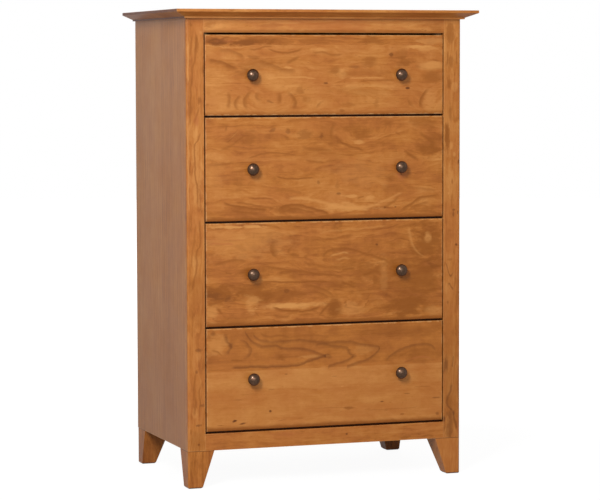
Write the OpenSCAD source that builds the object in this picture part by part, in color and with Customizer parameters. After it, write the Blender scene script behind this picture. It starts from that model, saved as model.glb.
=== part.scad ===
// Tall chest of four drawers in solid cherry, on tapered block feet.
// X runs across the front, Y runs from the front to the back, Z runs up.
// The origin is on the floor, below the middle of the top.
// Drawer 1 and web frame 1 are the highest.

/* [Case] */
// Width of the case over both stiles
case_w = 750; // [680:10:860]
// Depth of the case from its front face to its back
case_d = 472; // [440:2:540]
// Thickness of the side boards
side_t = 20; // [18:1:24]
// Thickness of the stiles and rails around the drawers
face_t = 20; // [18:1:24]
// Width of each stile
stile_w = 47; // [44:1:60]
// Height of the rail above the top drawer
top_rail_h = 36.5; // [30:0.5:60]
// Height of the rail below the bottom drawer
bottom_rail_h = 43; // [36:0.5:70]
// Radius of the rounded outer corners at the front of the case and on the feet
corner_r = 5; // [2:0.5:8]
// Length of the tenons on the rails
tenon_l = 30; // [15:1:34]
// Thickness of the tenons on the rails
tenon_t = 8; // [6:1:10]
// Step above and below each tenon
tenon_shoulder = 7; // [4:1:9]
// Thickness of the back panel
back_t = 6; // [5:1:9]
// Width of the rebate that takes the back panel in each side board
rebate_w = 10; // [8:1:12]

/* [Top] */
// Distance that the top stands past each side of the case
top_over_side = 35.5; // [30:1:50]
// Distance that the top stands past the front of the case
top_over_front = 40; // [32:1:55]
// Height of the square edge of the top
top_edge_t = 7; // [5:0.5:12]
// Height of the bevel under that edge
top_bevel_t = 12; // [8:0.5:18]
// Width of the bevel under that edge
top_bevel_w = 28.5; // [20:0.5:29]
// Height of the lip below the bevel
top_lip_t = 3.5; // [2:0.5:8]

/* [Feet] */
// Height of the feet
foot_h = 96; // [70:1:130]
// Width and depth of a foot where it meets the case
foot_top_w = 70; // [62:1:84]
// Width and depth of a foot at the floor
foot_sole_w = 38; // [30:1:55]
// Bevel around the sole of a foot
foot_bevel = 3; // [1:0.5:5]
// Bevel at the seam between a foot and the case
seam_bevel = 1; // [0.5:0.5:2]

/* [Drawer fronts] */
// Height of the top drawer front
top_front_h = 205; // [150:0.5:240]
// Height of each of the lower drawer fronts
lower_front_h = 264; // [200:0.5:300]
// Gap above and below a drawer front
face_gap = 5; // [2:0.5:6]
// Gap beside a drawer front
side_gap = 2; // [1:0.5:4]
// Radius of the rounded edges of the fronts
front_edge_r = 3; // [1:0.5:4]
// Radius of the eased edges of the stiles, the rails and the top
ease_r = 1.5; // [0.5:0.5:2.5]

/* [Drawer boxes] */
// Thickness of the drawer sides
box_side_t = 12; // [10:1:16]
// Thickness of the drawer backs
box_back_t = 12; // [10:1:16]
// Thickness of the drawer bottoms
box_bottom_t = 6; // [5:1:8]
// Depth of the groove that holds a drawer bottom
box_groove_d = 6; // [4:0.5:7]
// Height of that groove above the lower edge of the drawer side
box_groove_up = 10; // [7:1:14]
// Free space behind a closed drawer
box_rear_clear = 12; // [4:1:40]
// Wood left in front of the dovetails
dovetail_lap = 6; // [4:0.5:8]
// Height taken by one dovetail, before it is rounded to a whole number of them
dovetail_pitch = 42; // [34:1:60]
// Width of a pin between two dovetails at its narrow end
dovetail_pin = 6; // [4:0.5:9]
// Slope of the dovetails, as run over rise
dovetail_slope = 0.14; // [0.1:0.01:0.18]

/* [Web frames] */
// Thickness of the web frames
frame_t = 20; // [16:1:24]
// Width of the front and rear rail of a web frame
frame_rail_w = 50; // [40:1:70]
// Width of a drawer runner
runner_w = 70; // [56:1:90]
// Depth of the housings for the web frames in the side boards
housing_d = 6; // [4:0.5:8]
// Thickness of the tongues on the runners
tongue_t = 8; // [5:0.5:10]
// Length of the tongues on the runners
tongue_l = 10; // [6:1:16]
// Height of the guide strips beside the drawers
guide_h = 20; // [12:1:40]
// Width of the kickers above the top drawer
kicker_w = 42; // [36:1:60]

/* [Knobs] */
// Distance of each knob from the middle of the drawer
knob_x = 203; // [120:1:260]
// Diameter of a knob
knob_d = 32; // [29:0.5:38]
// Distance that a knob stands out from the drawer front
knob_l = 28; // [26:0.5:32]
// Radius of the foot of a knob
knob_foot_r = 8; // [7.5:0.5:9]
// Thickness of the foot of a knob
knob_foot_t = 1.5; // [1:0.5:2]
// Radius of the neck of a knob
knob_neck_r = 6; // [5:0.5:7]
// Radius of the rounded rim of a knob
knob_rim_r = 5; // [3:0.5:6]
// Distance from the drawer front to the middle of the rim
knob_rim_z = 17; // [15:0.5:18]
// Length of screw that sits in a knob
knob_grip = 12; // [8:1:14]

/* [Screws] */
// Radius of the screws through the top web frame and the corner blocks
case_screw_r = 2.2; // [1.6:0.1:2.8]
// Length of those screws
case_screw_l = 32; // [28:1:34]
// Spacing of the screws along the top web frame
top_screw_pitch = 240; // [120:5:270]
// Depth below the top of a corner block at which its screw heads sit
block_recess = 22; // [18:1:24]
// Distance from the edges of a corner block to its screws
block_screw_edge = 14; // [10:1:17]
// Radius of the screws through the back panel
back_screw_r = 1.7; // [1.3:0.1:2.2]
// Length of the screws through the back panel
back_screw_l = 18; // [14:1:22]
// Spacing of the screws across the back panel
back_screw_pitch = 220; // [120:5:260]
// Radius of the screws that hold the knobs
knob_screw_r = 2; // [1.6:0.1:2.5]

/* [Fits] */
// Clearance in glued joints and housings
glue_fit = 0.1; // [0.05:0.05:0.3]
// Clearance around a screw
screw_fit = 0.1; // [0.05:0.05:0.3]
// Clearance between a drawer side and the runner below it
run_gap = 0.3; // [0.2:0.1:1]
// Clearance between a drawer side and its guide strip
guide_gap = 0.5; // [0.3:0.1:1.5]
// Clearance above a drawer side
lift_gap = 3; // [1:0.5:6]
// Clearance between a closed drawer front and the web frame that stops it
stop_gap = 0.3; // [0.2:0.1:1]

/* [Hidden] */
$fn = 48;

// Side view of the case, from the floor up
half_w = case_w / 2;
face_y = (top_over_front - case_d) / 2;
rear_y = face_y + case_d;
face_back_y = face_y + face_t;
panel_y = rear_y - back_t;
top_t = top_edge_t + top_bevel_t + top_lip_t;
DRAWERS = 4;
SILL = DRAWERS + 1;

// Heights: gap n lies above drawer n, and the last one lies on the bottom rail
function front_h(n) = n == 1 ? top_front_h : lower_front_h;
function gap_z(n) = n == SILL ? foot_h + bottom_rail_h + face_gap / 2 : gap_z(n + 1) + front_h(n) + face_gap;
case_z = gap_z(1) + face_gap / 2 + top_rail_h;
function frame_z(n) = n == 1 ? case_z - frame_t : gap_z(n) - frame_t / 2;
kicker_z = gap_z(1) - frame_t / 2;

// Widths, measured from the middle of the case
inner_x = half_w - side_t;
open_x = half_w - stile_w;
frame_x = inner_x + housing_d;
front_x = open_x - side_gap;
box_x = front_x - box_side_t;
panel_x = inner_x + rebate_w;

// Drawers, front to back
front_t = face_t - stop_gap;
front_back_y = face_y + front_t;
tail_l = front_t - dovetail_lap;
box_end_y = panel_y - box_rear_clear;
box_back_y = box_end_y - box_back_t;
function front_z(n) = gap_z(n + 1) + face_gap / 2;
function box_z(n) = frame_z(n + 1) + frame_t + run_gap;
function box_top_z(n) = (n == 1 ? kicker_z : frame_z(n)) - lift_gap;
function groove_z(n) = box_z(n) + box_groove_up;
function back_z(n) = groove_z(n) + box_bottom_t + 2 * glue_fit;
function knob_z(n) = front_z(n) + front_h(n) / 2;

// Screw heads and screw places
case_head_r = 2 * case_screw_r;
case_head_h = 1.3 * case_screw_r;
back_head_r = 2 * back_screw_r;
back_head_h = 1.3 * back_screw_r;
knob_head_r = 2.2 * knob_screw_r;
knob_head_h = 1.3 * knob_screw_r;
knob_screw_l = front_t + knob_grip;
top_screw_xs = [for (k = [-1:1]) k * top_screw_pitch];
back_screw_xs = [for (k = [-1:1]) k * back_screw_pitch];
back_rail_zs = [for (n = [1:SILL]) frame_z(n) + frame_t / 2];
back_side_zs = [for (n = [1:DRAWERS]) (frame_z(n) + frame_z(n + 1) + frame_t) / 2];

// Colours
CHERRY = "#b8733b";
CHERRY_FRONT = "#bf7c44";
CHERRY_SIDE = "#a9714a";
CHERRY_FOOT = "#a8682f";
PLYWOOD = "#c9a36c";
MAPLE = "#dcc08f";
POPLAR = "#c9b183";
BRONZE = "#4b4136";
STEEL = "#9a9a96";

// Shared shapes

// A board between two faces along each axis
module board(x, y, z)
    translate([x[0], y[0], z[0]]) cube([x[1] - x[0], y[1] - y[0], z[1] - z[0]]);

// The same thing on the left and on the right
module both_sides() {
    children();
    mirror([1, 0, 0]) children();
}

// An outline drawn in Y and Z, extruded from x0 to x1
module along_x(x0, x1)
    translate([x0, 0, 0]) rotate([90, 0, 90]) linear_extrude(x1 - x0) children();

// An outline drawn in X and Z, extruded from y0 to y1
module along_y(y0, y1)
    translate([0, y1, 0]) rotate([90, 0, 0]) linear_extrude(y1 - y0) children();

// An outline drawn in X and Y, extruded from z0 to z1
module along_z(z0, z1)
    translate([0, 0, z0]) linear_extrude(z1 - z0) children();

// What a radius r takes off an outline's corner; dir says which way the corner points
module corner_waste(at, dir, r)
    translate(at)
        mirror([dir[0] < 0 ? 1 : 0, 0]) mirror([0, dir[1] < 0 ? 1 : 0])
            translate([-r, -r]) difference() {
                square(2 * r);
                circle(r);
            }

// A flat-head wood screw that points down, with its head flush at the origin
module wood_screw(r, l, head_r, head_h) {
    difference() {
        union() {
            cylinder(h = head_h, r1 = r, r2 = head_r);
            translate([0, 0, head_h - l]) cylinder(h = l - head_h, r = r);
        }
        for (a = [0, 90])
            rotate([0, 0, a]) translate([-head_r * 0.55, -head_r * 0.12, head_h / 2])
                cube([head_r * 1.1, head_r * 0.24, head_h]);
    }
}

// The hole that such a screw needs, open above its head
module screw_hole(r, l, head_r, head_h, recess = 1) {
    cylinder(h = head_h, r1 = r + screw_fit, r2 = head_r + screw_fit);
    translate([0, 0, head_h - l - screw_fit]) cylinder(h = l - head_h + 2 * screw_fit, r = r + screw_fit);
    translate([0, 0, head_h]) cylinder(h = recess, r = head_r + screw_fit);
}

// Top

// Corner points of the top's edge past a case face at u, on the side that dir says
function top_edge(u, dir, over) = over > 0
    ? [[u + dir * (over - top_bevel_w), 0], [u + dir * (over - top_bevel_w), top_lip_t],
       [u + dir * over, top_lip_t + top_bevel_t], [u + dir * over, top_t]]
    : [[u, 0], [u, top_t]];
function reversed(p) = [for (i = [len(p) - 1:-1:0]) p[i]];

// Section through the top across a case that runs from a to b
module top_section(a, b, over_a, over_b) translate([0, case_z]) difference() {
    polygon(concat(top_edge(b, 1, over_b), reversed(top_edge(a, -1, over_a))));
    corner_waste([b + over_b, top_t], [1, 1], ease_r);
    corner_waste([a - over_a, top_t], [-1, 1], ease_r);
}

module top() color(CHERRY) difference() {
    intersection() {
        along_x(-half_w - top_over_side, half_w + top_over_side)
            top_section(face_y, rear_y, top_over_front, 0);
        along_y(face_y - top_over_front, rear_y)
            top_section(-half_w, half_w, top_over_side, top_over_side);
    }
    top_screw_places() screw_hole(case_screw_r, case_screw_l, case_head_r, case_head_h);
}

// Case

// One housing for a web frame, cut into the right side board
module housing(n)
    board([inner_x - 1, frame_x], [face_y, rear_y],
        [frame_z(n) - glue_fit, frame_z(n) + frame_t + glue_fit]);

module side_right() color(CHERRY_SIDE) difference() {
    board([inner_x, half_w], [face_back_y, rear_y], [foot_h, case_z]);
    for (n = [1:SILL]) housing(n);
    board([inner_x - 1, panel_x], [panel_y, rear_y + 1], [foot_h - 1, case_z + 1]);
    back_side_screw_places() screw_hole(back_screw_r, back_screw_l, back_head_r, back_head_h);
}

module side_left() mirror([1, 0, 0]) side_right();

// Room for a rail's tenon, which is the tenon itself with a clearance
module tenon(z0, h, grow)
    board([open_x - 1, open_x + tenon_l + grow],
        [face_y + (face_t - tenon_t) / 2 - grow, face_y + (face_t + tenon_t) / 2 + grow],
        [z0 + tenon_shoulder - grow, z0 + h - tenon_shoulder + grow]);

module stile_right() color(CHERRY) difference() {
    along_z(foot_h, case_z) difference() {
        translate([open_x, face_y]) square([stile_w, face_t]);
        corner_waste([half_w, face_y], [1, -1], corner_r);
    }
    along_z(gap_z(SILL) - face_gap / 2, gap_z(1) + face_gap / 2)
        corner_waste([open_x, face_y], [-1, -1], ease_r);
    tenon(foot_h, bottom_rail_h, glue_fit);
    tenon(case_z - top_rail_h, top_rail_h, glue_fit);
}

module stile_left() mirror([1, 0, 0]) stile_right();

// A rail between the stiles, with a tenon at each end and one eased edge
module rail(z0, h, eased_z, eased_dir) color(CHERRY) {
    difference() {
        board([-open_x, open_x], [face_y, face_back_y], [z0, z0 + h]);
        along_x(-open_x, open_x) corner_waste([face_y, eased_z], [-1, eased_dir], ease_r);
    }
    both_sides() tenon(z0, h, 0);
}

module top_rail() rail(case_z - top_rail_h, top_rail_h, case_z - top_rail_h, -1);

module bottom_rail() rail(foot_h, bottom_rail_h, foot_h + bottom_rail_h, 1);

module back_panel() color(PLYWOOD) difference() {
    board([glue_fit - panel_x, panel_x - glue_fit], [panel_y, rear_y], [foot_h, case_z]);
    back_rail_screw_places() screw_hole(back_screw_r, back_screw_l, back_head_r, back_head_h);
    both_sides() back_side_screw_places()
        screw_hole(back_screw_r, back_screw_l, back_head_r, back_head_h);
}

// Feet and corner blocks, drawn with the outer corner of the case at the origin

function foot_inner(z) = foot_sole_w + (foot_top_w - foot_sole_w) * z / foot_h;

// Section of a foot: a plumb outer face at 0 and a sloping inner face
module foot_section() polygon([[foot_bevel, 0], [foot_sole_w - foot_bevel, 0],
    [foot_inner(foot_bevel), foot_bevel], [foot_top_w, foot_h], [seam_bevel, foot_h],
    [0, foot_h - seam_bevel], [0, foot_bevel]]);

module foot_shape() color(CHERRY_FOOT) difference() {
    intersection() {
        along_x(0, foot_top_w) foot_section();
        along_y(0, foot_top_w) foot_section();
        along_z(0, foot_h) difference() {
            square(foot_top_w);
            corner_waste([0, 0], [-1, -1], corner_r);
        }
    }
    block_screw_places() screw_hole(case_screw_r, case_screw_l, case_head_r, case_head_h);
}

// A glue block on a foot, clear of what closes the case at its y side
module corner_block(y0) color(POPLAR) difference() {
    board([side_t, foot_top_w], [y0, foot_top_w], [foot_h, frame_z(SILL)]);
    block_screw_places()
        screw_hole(case_screw_r, case_screw_l, case_head_r, case_head_h, block_recess + 1);
}

// Moves a foot's drawing to a corner: right is 1 or -1, rear is 1 or -1
module at_corner(right, rear)
    translate([right * half_w, rear < 0 ? face_y : rear_y, 0])
        mirror([right > 0 ? 1 : 0, 0, 0]) mirror([0, rear > 0 ? 1 : 0, 0]) children();

module foot_front_left() at_corner(-1, -1) foot_shape();
module foot_front_right() at_corner(1, -1) foot_shape();
module foot_rear_left() at_corner(-1, 1) foot_shape();
module foot_rear_right() at_corner(1, 1) foot_shape();

module corner_blocks() for (right = [-1, 1]) {
    at_corner(right, -1) corner_block(face_t);
    at_corner(right, 1) corner_block(back_t);
}

// Web frames

// The groove or the tongue that joins the runners of frame n to its rails
module tongue(n, x, y, grow)
    board(x, y, [frame_z(n) + (frame_t - tongue_t) / 2 - grow,
        frame_z(n) + (frame_t + tongue_t) / 2 + grow]);

module frame_front(n) color(POPLAR) difference() {
    board([glue_fit - frame_x, frame_x - glue_fit], [face_back_y, face_back_y + frame_rail_w],
        [frame_z(n), frame_z(n) + frame_t]);
    tongue(n, [-frame_x, frame_x],
        [face_back_y + frame_rail_w - tongue_l, face_back_y + frame_rail_w + 1], glue_fit);
    if (n == 1) top_screw_places()
        screw_hole(case_screw_r, case_screw_l, case_head_r, case_head_h);
}

module frame_rear(n) color(POPLAR) difference() {
    board([glue_fit - frame_x, frame_x - glue_fit], [panel_y - frame_rail_w, panel_y],
        [frame_z(n), frame_z(n) + frame_t]);
    tongue(n, [-frame_x, frame_x],
        [panel_y - frame_rail_w - 1, panel_y - frame_rail_w + tongue_l], glue_fit);
    if (n == 1) top_screw_places()
        screw_hole(case_screw_r, case_screw_l, case_head_r, case_head_h);
    back_rail_screw_places() screw_hole(back_screw_r, back_screw_l, back_head_r, back_head_h);
}

module frame_runners(n) color(POPLAR) both_sides() {
    y0 = face_back_y + frame_rail_w;
    y1 = panel_y - frame_rail_w;
    x = [frame_x - runner_w, frame_x - glue_fit];
    board(x, [y0, y1], [frame_z(n), frame_z(n) + frame_t]);
    tongue(n, x, [y0 - tongue_l + glue_fit, y1 + tongue_l - glue_fit], 0);
}

// Strips that keep each drawer straight, standing on the web frames
module drawer_guides() color(MAPLE) for (n = [2:SILL]) both_sides()
    board([front_x + guide_gap, inner_x], [face_back_y, panel_y],
        [frame_z(n) + frame_t, frame_z(n) + frame_t + guide_h]);

// Strips that keep the top drawer from tipping, under the highest web frame
module kickers() color(MAPLE) both_sides()
    board([inner_x - kicker_w, inner_x], [face_back_y, panel_y], [kicker_z, frame_z(1)]);

// Screws

// Pointing up through the highest web frame into the top
module top_screw_places() for (x = top_screw_xs)
    for (y = [face_back_y + frame_rail_w / 2 - tongue_l / 2, panel_y - frame_rail_w / 2 + tongue_l / 2])
        translate([x, y, frame_z(1) + case_head_h]) mirror([0, 0, 1]) children();

// Pointing down through a corner block into its foot, in the foot's own drawing
module block_screw_places() {
    near = side_t + block_screw_edge;
    far = foot_top_w - block_screw_edge;
    for (p = [[near, far], [far, near]])
        translate([p[0], p[1], frame_z(SILL) - block_recess - case_head_h]) children();
}

// Pointing forward through the back panel into the rear rails of the web frames
module back_rail_screw_places() for (x = back_screw_xs, z = back_rail_zs)
    translate([x, rear_y - back_head_h, z]) rotate([-90, 0, 0]) children();

// Pointing forward through the back panel into the right side board
module back_side_screw_places() for (z = back_side_zs)
    translate([inner_x + rebate_w / 2, rear_y - back_head_h, z]) rotate([-90, 0, 0]) children();

module case_screws() color(STEEL) {
    top_screw_places() wood_screw(case_screw_r, case_screw_l, case_head_r, case_head_h);
    for (right = [-1, 1], rear = [-1, 1]) at_corner(right, rear) block_screw_places()
        wood_screw(case_screw_r, case_screw_l, case_head_r, case_head_h);
}

module back_screws() color(STEEL) {
    back_rail_screw_places() wood_screw(back_screw_r, back_screw_l, back_head_r, back_head_h);
    both_sides() back_side_screw_places()
        wood_screw(back_screw_r, back_screw_l, back_head_r, back_head_h);
}

// Drawers

// A row of dovetails between two heights, pointing the way dir says from a shoulder at y
module dovetails(y, dir, l, z0, z1, grow) {
    count = max(3, round((z1 - z0) / dovetail_pitch));
    pitch = (z1 - z0) / count;
    inside = 2;
    tip = [l + grow, (pitch - dovetail_pin) / 2 + grow];
    root = [inside, tip[1] - (l + inside) * dovetail_slope];
    front = dir < 0 ? [-tip[0], tip[1]] : [-root[0], root[1]];
    rear = dir < 0 ? root : tip;
    for (i = [0:count - 1]) translate([y, z0 + pitch * (i + 0.5)])
        polygon([[front[0], -front[1]], [rear[0], -rear[1]], rear, front]);
}

module front_dovetails(n, grow)
    dovetails(front_back_y, -1, tail_l - glue_fit, box_z(n), box_top_z(n), grow);

module back_dovetails(n, grow)
    dovetails(box_back_y, 1, box_back_t, back_z(n), box_top_z(n), grow);

module drawer_front(n) color(CHERRY_FRONT) {
    z0 = front_z(n);
    z1 = z0 + front_h(n);
    difference() {
        intersection() {
            along_x(-front_x, front_x) difference() {
                translate([face_y, z0]) square([front_t, z1 - z0]);
                corner_waste([face_y, z0], [-1, -1], front_edge_r);
                corner_waste([face_y, z1], [-1, 1], front_edge_r);
            }
            along_z(z0, z1) difference() {
                translate([-front_x, face_y]) square([2 * front_x, front_t]);
                corner_waste([-front_x, face_y], [-1, -1], front_edge_r);
                corner_waste([front_x, face_y], [1, -1], front_edge_r);
            }
        }
        both_sides() along_x(box_x - glue_fit, front_x + 1) front_dovetails(n, glue_fit);
        board([-box_x - box_groove_d, box_x + box_groove_d],
            [front_back_y - box_groove_d, front_back_y + 1], [groove_z(n), back_z(n)]);
        knob_places(n) translate([0, 0, -front_t - 1])
            cylinder(h = front_t + 2, r = knob_screw_r + screw_fit);
    }
}

module drawer_side_right(n) color(MAPLE) difference() {
    along_x(box_x, front_x) {
        translate([front_back_y, box_z(n)])
            square([box_back_y - front_back_y, box_top_z(n) - box_z(n)]);
        translate([box_back_y - 1, box_z(n)])
            square([box_back_t + 1, back_z(n) - glue_fit - box_z(n)]);
        front_dovetails(n, 0);
        back_dovetails(n, 0);
    }
    board([box_x - 1, box_x + box_groove_d], [face_y, box_end_y + 1], [groove_z(n), back_z(n)]);
}

module drawer_side_left(n) mirror([1, 0, 0]) drawer_side_right(n);

module drawer_back(n) color(MAPLE) difference() {
    board([-front_x, front_x], [box_back_y, box_end_y], [back_z(n), box_top_z(n)]);
    both_sides() along_x(box_x - glue_fit, front_x + 1) back_dovetails(n, glue_fit);
}

module drawer_bottom(n) color(PLYWOOD)
    board([glue_fit - box_x - box_groove_d, box_x + box_groove_d - glue_fit],
        [front_back_y - box_groove_d + glue_fit, box_end_y],
        [groove_z(n) + glue_fit, groove_z(n) + glue_fit + box_bottom_t]);

// Knobs

// Moves a drawing of one knob, with its axis along Z, to both places on a drawer front
module knob_places(n) both_sides()
    translate([knob_x, face_y, knob_z(n)]) rotate([90, 0, 0]) children();

// Points on an arc about c, in an outline of radius and height
function arc(c, r, a0, a1, steps) =
    [for (i = [0:steps]) c + r * [cos(a0 + (a1 - a0) * i / steps), sin(a0 + (a1 - a0) * i / steps)]];

// Half outline of a turned knob: foot, waisted neck, rounded rim and domed cap
module knob_outline() {
    waist = knob_foot_r - knob_neck_r;
    half = (knob_rim_z - knob_rim_r - knob_foot_t) / 2;
    cove_r = (half ^ 2 + waist ^ 2) / (2 * waist);
    lean = asin(half / cove_r);
    rim_x = knob_d / 2 - knob_rim_r;
    rise = knob_l - knob_rim_z;
    dome_r = (rim_x ^ 2 + rise ^ 2 - knob_rim_r ^ 2) / (2 * (rise - knob_rim_r));
    meet = atan2(dome_r - rise, rim_x);
    polygon(concat(
        [[0, 0], [knob_foot_r, 0]],
        arc([knob_neck_r + cove_r, knob_foot_t + half], cove_r, 180 + lean, 180 - lean, 8),
        arc([rim_x, knob_rim_z], knob_rim_r, -90, meet, 10),
        arc([0, knob_l - dome_r], dome_r, meet, 90, 8)));
}

module knobs(n) color(BRONZE) knob_places(n) difference() {
    rotate_extrude() knob_outline();
    translate([0, 0, -1]) cylinder(h = knob_grip + 1 + screw_fit, r = knob_screw_r + screw_fit);
}

// Pan-head screws from inside the drawer
module knob_screws(n) color(STEEL) knob_places(n) translate([0, 0, -front_t]) difference() {
    union() {
        cylinder(h = knob_screw_l, r = knob_screw_r);
        translate([0, 0, -knob_head_h]) cylinder(h = knob_head_h, r = knob_head_r);
    }
    for (a = [0, 90])
        rotate([0, 0, a]) translate([-knob_head_r * 0.6, -knob_head_r * 0.12, -knob_head_h - 1])
            cube([knob_head_r * 1.2, knob_head_r * 0.24, knob_head_h / 2 + 1]);
}

top();
side_left();
side_right();
stile_left();
stile_right();
top_rail();
bottom_rail();
back_panel();
foot_front_left();
foot_front_right();
foot_rear_left();
foot_rear_right();
corner_blocks();
frame_front(1);  // frame_1_front
frame_front(2);  // frame_2_front
frame_front(3);  // frame_3_front
frame_front(4);  // frame_4_front
frame_front(5);  // frame_5_front
frame_rear(1);  // frame_1_rear
frame_rear(2);  // frame_2_rear
frame_rear(3);  // frame_3_rear
frame_rear(4);  // frame_4_rear
frame_rear(5);  // frame_5_rear
frame_runners(1);  // frame_1_runners
frame_runners(2);  // frame_2_runners
frame_runners(3);  // frame_3_runners
frame_runners(4);  // frame_4_runners
frame_runners(5);  // frame_5_runners
drawer_guides();
kickers();
case_screws();
back_screws();
drawer_front(1);  // drawer_1_front
drawer_side_left(1);  // drawer_1_side_left
drawer_side_right(1);  // drawer_1_side_right
drawer_back(1);  // drawer_1_back
drawer_bottom(1);  // drawer_1_bottom
knobs(1);  // drawer_1_knobs
knob_screws(1);  // drawer_1_knob_screws
drawer_front(2);  // drawer_2_front
drawer_side_left(2);  // drawer_2_side_left
drawer_side_right(2);  // drawer_2_side_right
drawer_back(2);  // drawer_2_back
drawer_bottom(2);  // drawer_2_bottom
knobs(2);  // drawer_2_knobs
knob_screws(2);  // drawer_2_knob_screws
drawer_front(3);  // drawer_3_front
drawer_side_left(3);  // drawer_3_side_left
drawer_side_right(3);  // drawer_3_side_right
drawer_back(3);  // drawer_3_back
drawer_bottom(3);  // drawer_3_bottom
knobs(3);  // drawer_3_knobs
knob_screws(3);  // drawer_3_knob_screws
drawer_front(4);  // drawer_4_front
drawer_side_left(4);  // drawer_4_side_left
drawer_side_right(4);  // drawer_4_side_right
drawer_back(4);  // drawer_4_back
drawer_bottom(4);  // drawer_4_bottom
knobs(4);  // drawer_4_knobs
knob_screws(4);  // drawer_4_knob_screws
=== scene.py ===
"""Dresses the chest of drawers: cherry outside, maple drawers on poplar frames, bronze knobs."""

import logging
import math
from dataclasses import dataclass, replace
from enum import Enum
from typing import Callable, Mapping, Sequence

import bmesh
import bpy
from mathutils import Euler, Matrix, Vector


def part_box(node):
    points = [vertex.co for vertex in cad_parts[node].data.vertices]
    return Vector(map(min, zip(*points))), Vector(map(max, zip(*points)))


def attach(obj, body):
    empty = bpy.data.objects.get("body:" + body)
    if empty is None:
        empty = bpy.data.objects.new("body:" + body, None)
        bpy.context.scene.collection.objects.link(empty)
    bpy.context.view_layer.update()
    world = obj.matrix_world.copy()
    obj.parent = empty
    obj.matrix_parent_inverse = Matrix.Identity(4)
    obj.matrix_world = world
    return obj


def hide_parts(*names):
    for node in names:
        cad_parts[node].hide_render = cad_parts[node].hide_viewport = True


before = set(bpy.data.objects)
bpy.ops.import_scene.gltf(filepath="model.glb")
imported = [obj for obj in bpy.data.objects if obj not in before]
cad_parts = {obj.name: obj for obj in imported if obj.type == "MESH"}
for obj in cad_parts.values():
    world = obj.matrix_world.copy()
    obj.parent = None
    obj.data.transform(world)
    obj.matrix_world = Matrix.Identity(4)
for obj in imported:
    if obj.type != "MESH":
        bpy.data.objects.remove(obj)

log = logging.getLogger("chest")

MM = 0.001
DRAWERS = (1, 2, 3, 4)
FRAMES = (1, 2, 3, 4, 5)
SIDES = ("left", "right")
SCREWS = ("case_screws", "back_screws")

Socket = bpy.types.NodeSocket
Feed = Socket | float | Sequence[float]
Colour = tuple[float, float, float, float]
Point = tuple[float, float]
Triple = tuple[float, float, float]

# Reaches in mm: farther than any board, and along the whole of one.
FAR = 1e6
WHOLE = 2500.0

WHITE = (1.0, 1.0, 1.0, 1.0)

# How far the slow bends of an ordinary board reach along, into and across it, in mm.
BENDS = (230.0, 90.0, 60.0)

# Sizes of the patterns' cells along, into and across a board, in mm.
STREAKS = (90.0, 3.0, 3.0)
CURLS = (20.0, 60.0, 50.0)
CLOUDS = (110.0, 80.0, 50.0)
FLECKS = (11.0, 2.0, 1.5)
RIMS = (34.0, 40.0, 13.0)

# How far each part of the grain moves the tone of a board, and where the mean tone lies.
RING_WEIGHTS = {"Band": 0.14, "Flow": 0.8}
FIBRE_WEIGHTS = {"Streak": 0.3, "Curl": 0.18, "Cloud": 0.55}
MEAN_TONE = 0.55
RUDDY_SHARE = 0.28
FLECK_SHARE = 0.45

# How deep in a gap, in mm, the painted shade on the faces beside a board begins and thins out, and
# how much of it stays deeper in.
GAP_SHADE_BEGINS = (1.0, 4.0)
GAP_SHADE_THINS = (5.0, 9.0)
GAP_SHADE_DEEP_IN = 0.3


def paint(code: str) -> Colour:
    """Turns a colour of six hex digits into the linear colour that a shader takes.

    Args:
        code: The colour as it looks on a screen, such as "b4703a".

    Returns:
        Red, green, blue and a full alpha.
    """
    parts = [int(code[i:i + 2], 16) / 255 for i in (0, 2, 4)]
    red, green, blue = (p / 12.92 if p <= 0.04045 else ((p + 0.055) / 1.055) ** 2.4 for p in parts)
    return red, green, blue, 1.0


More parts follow.
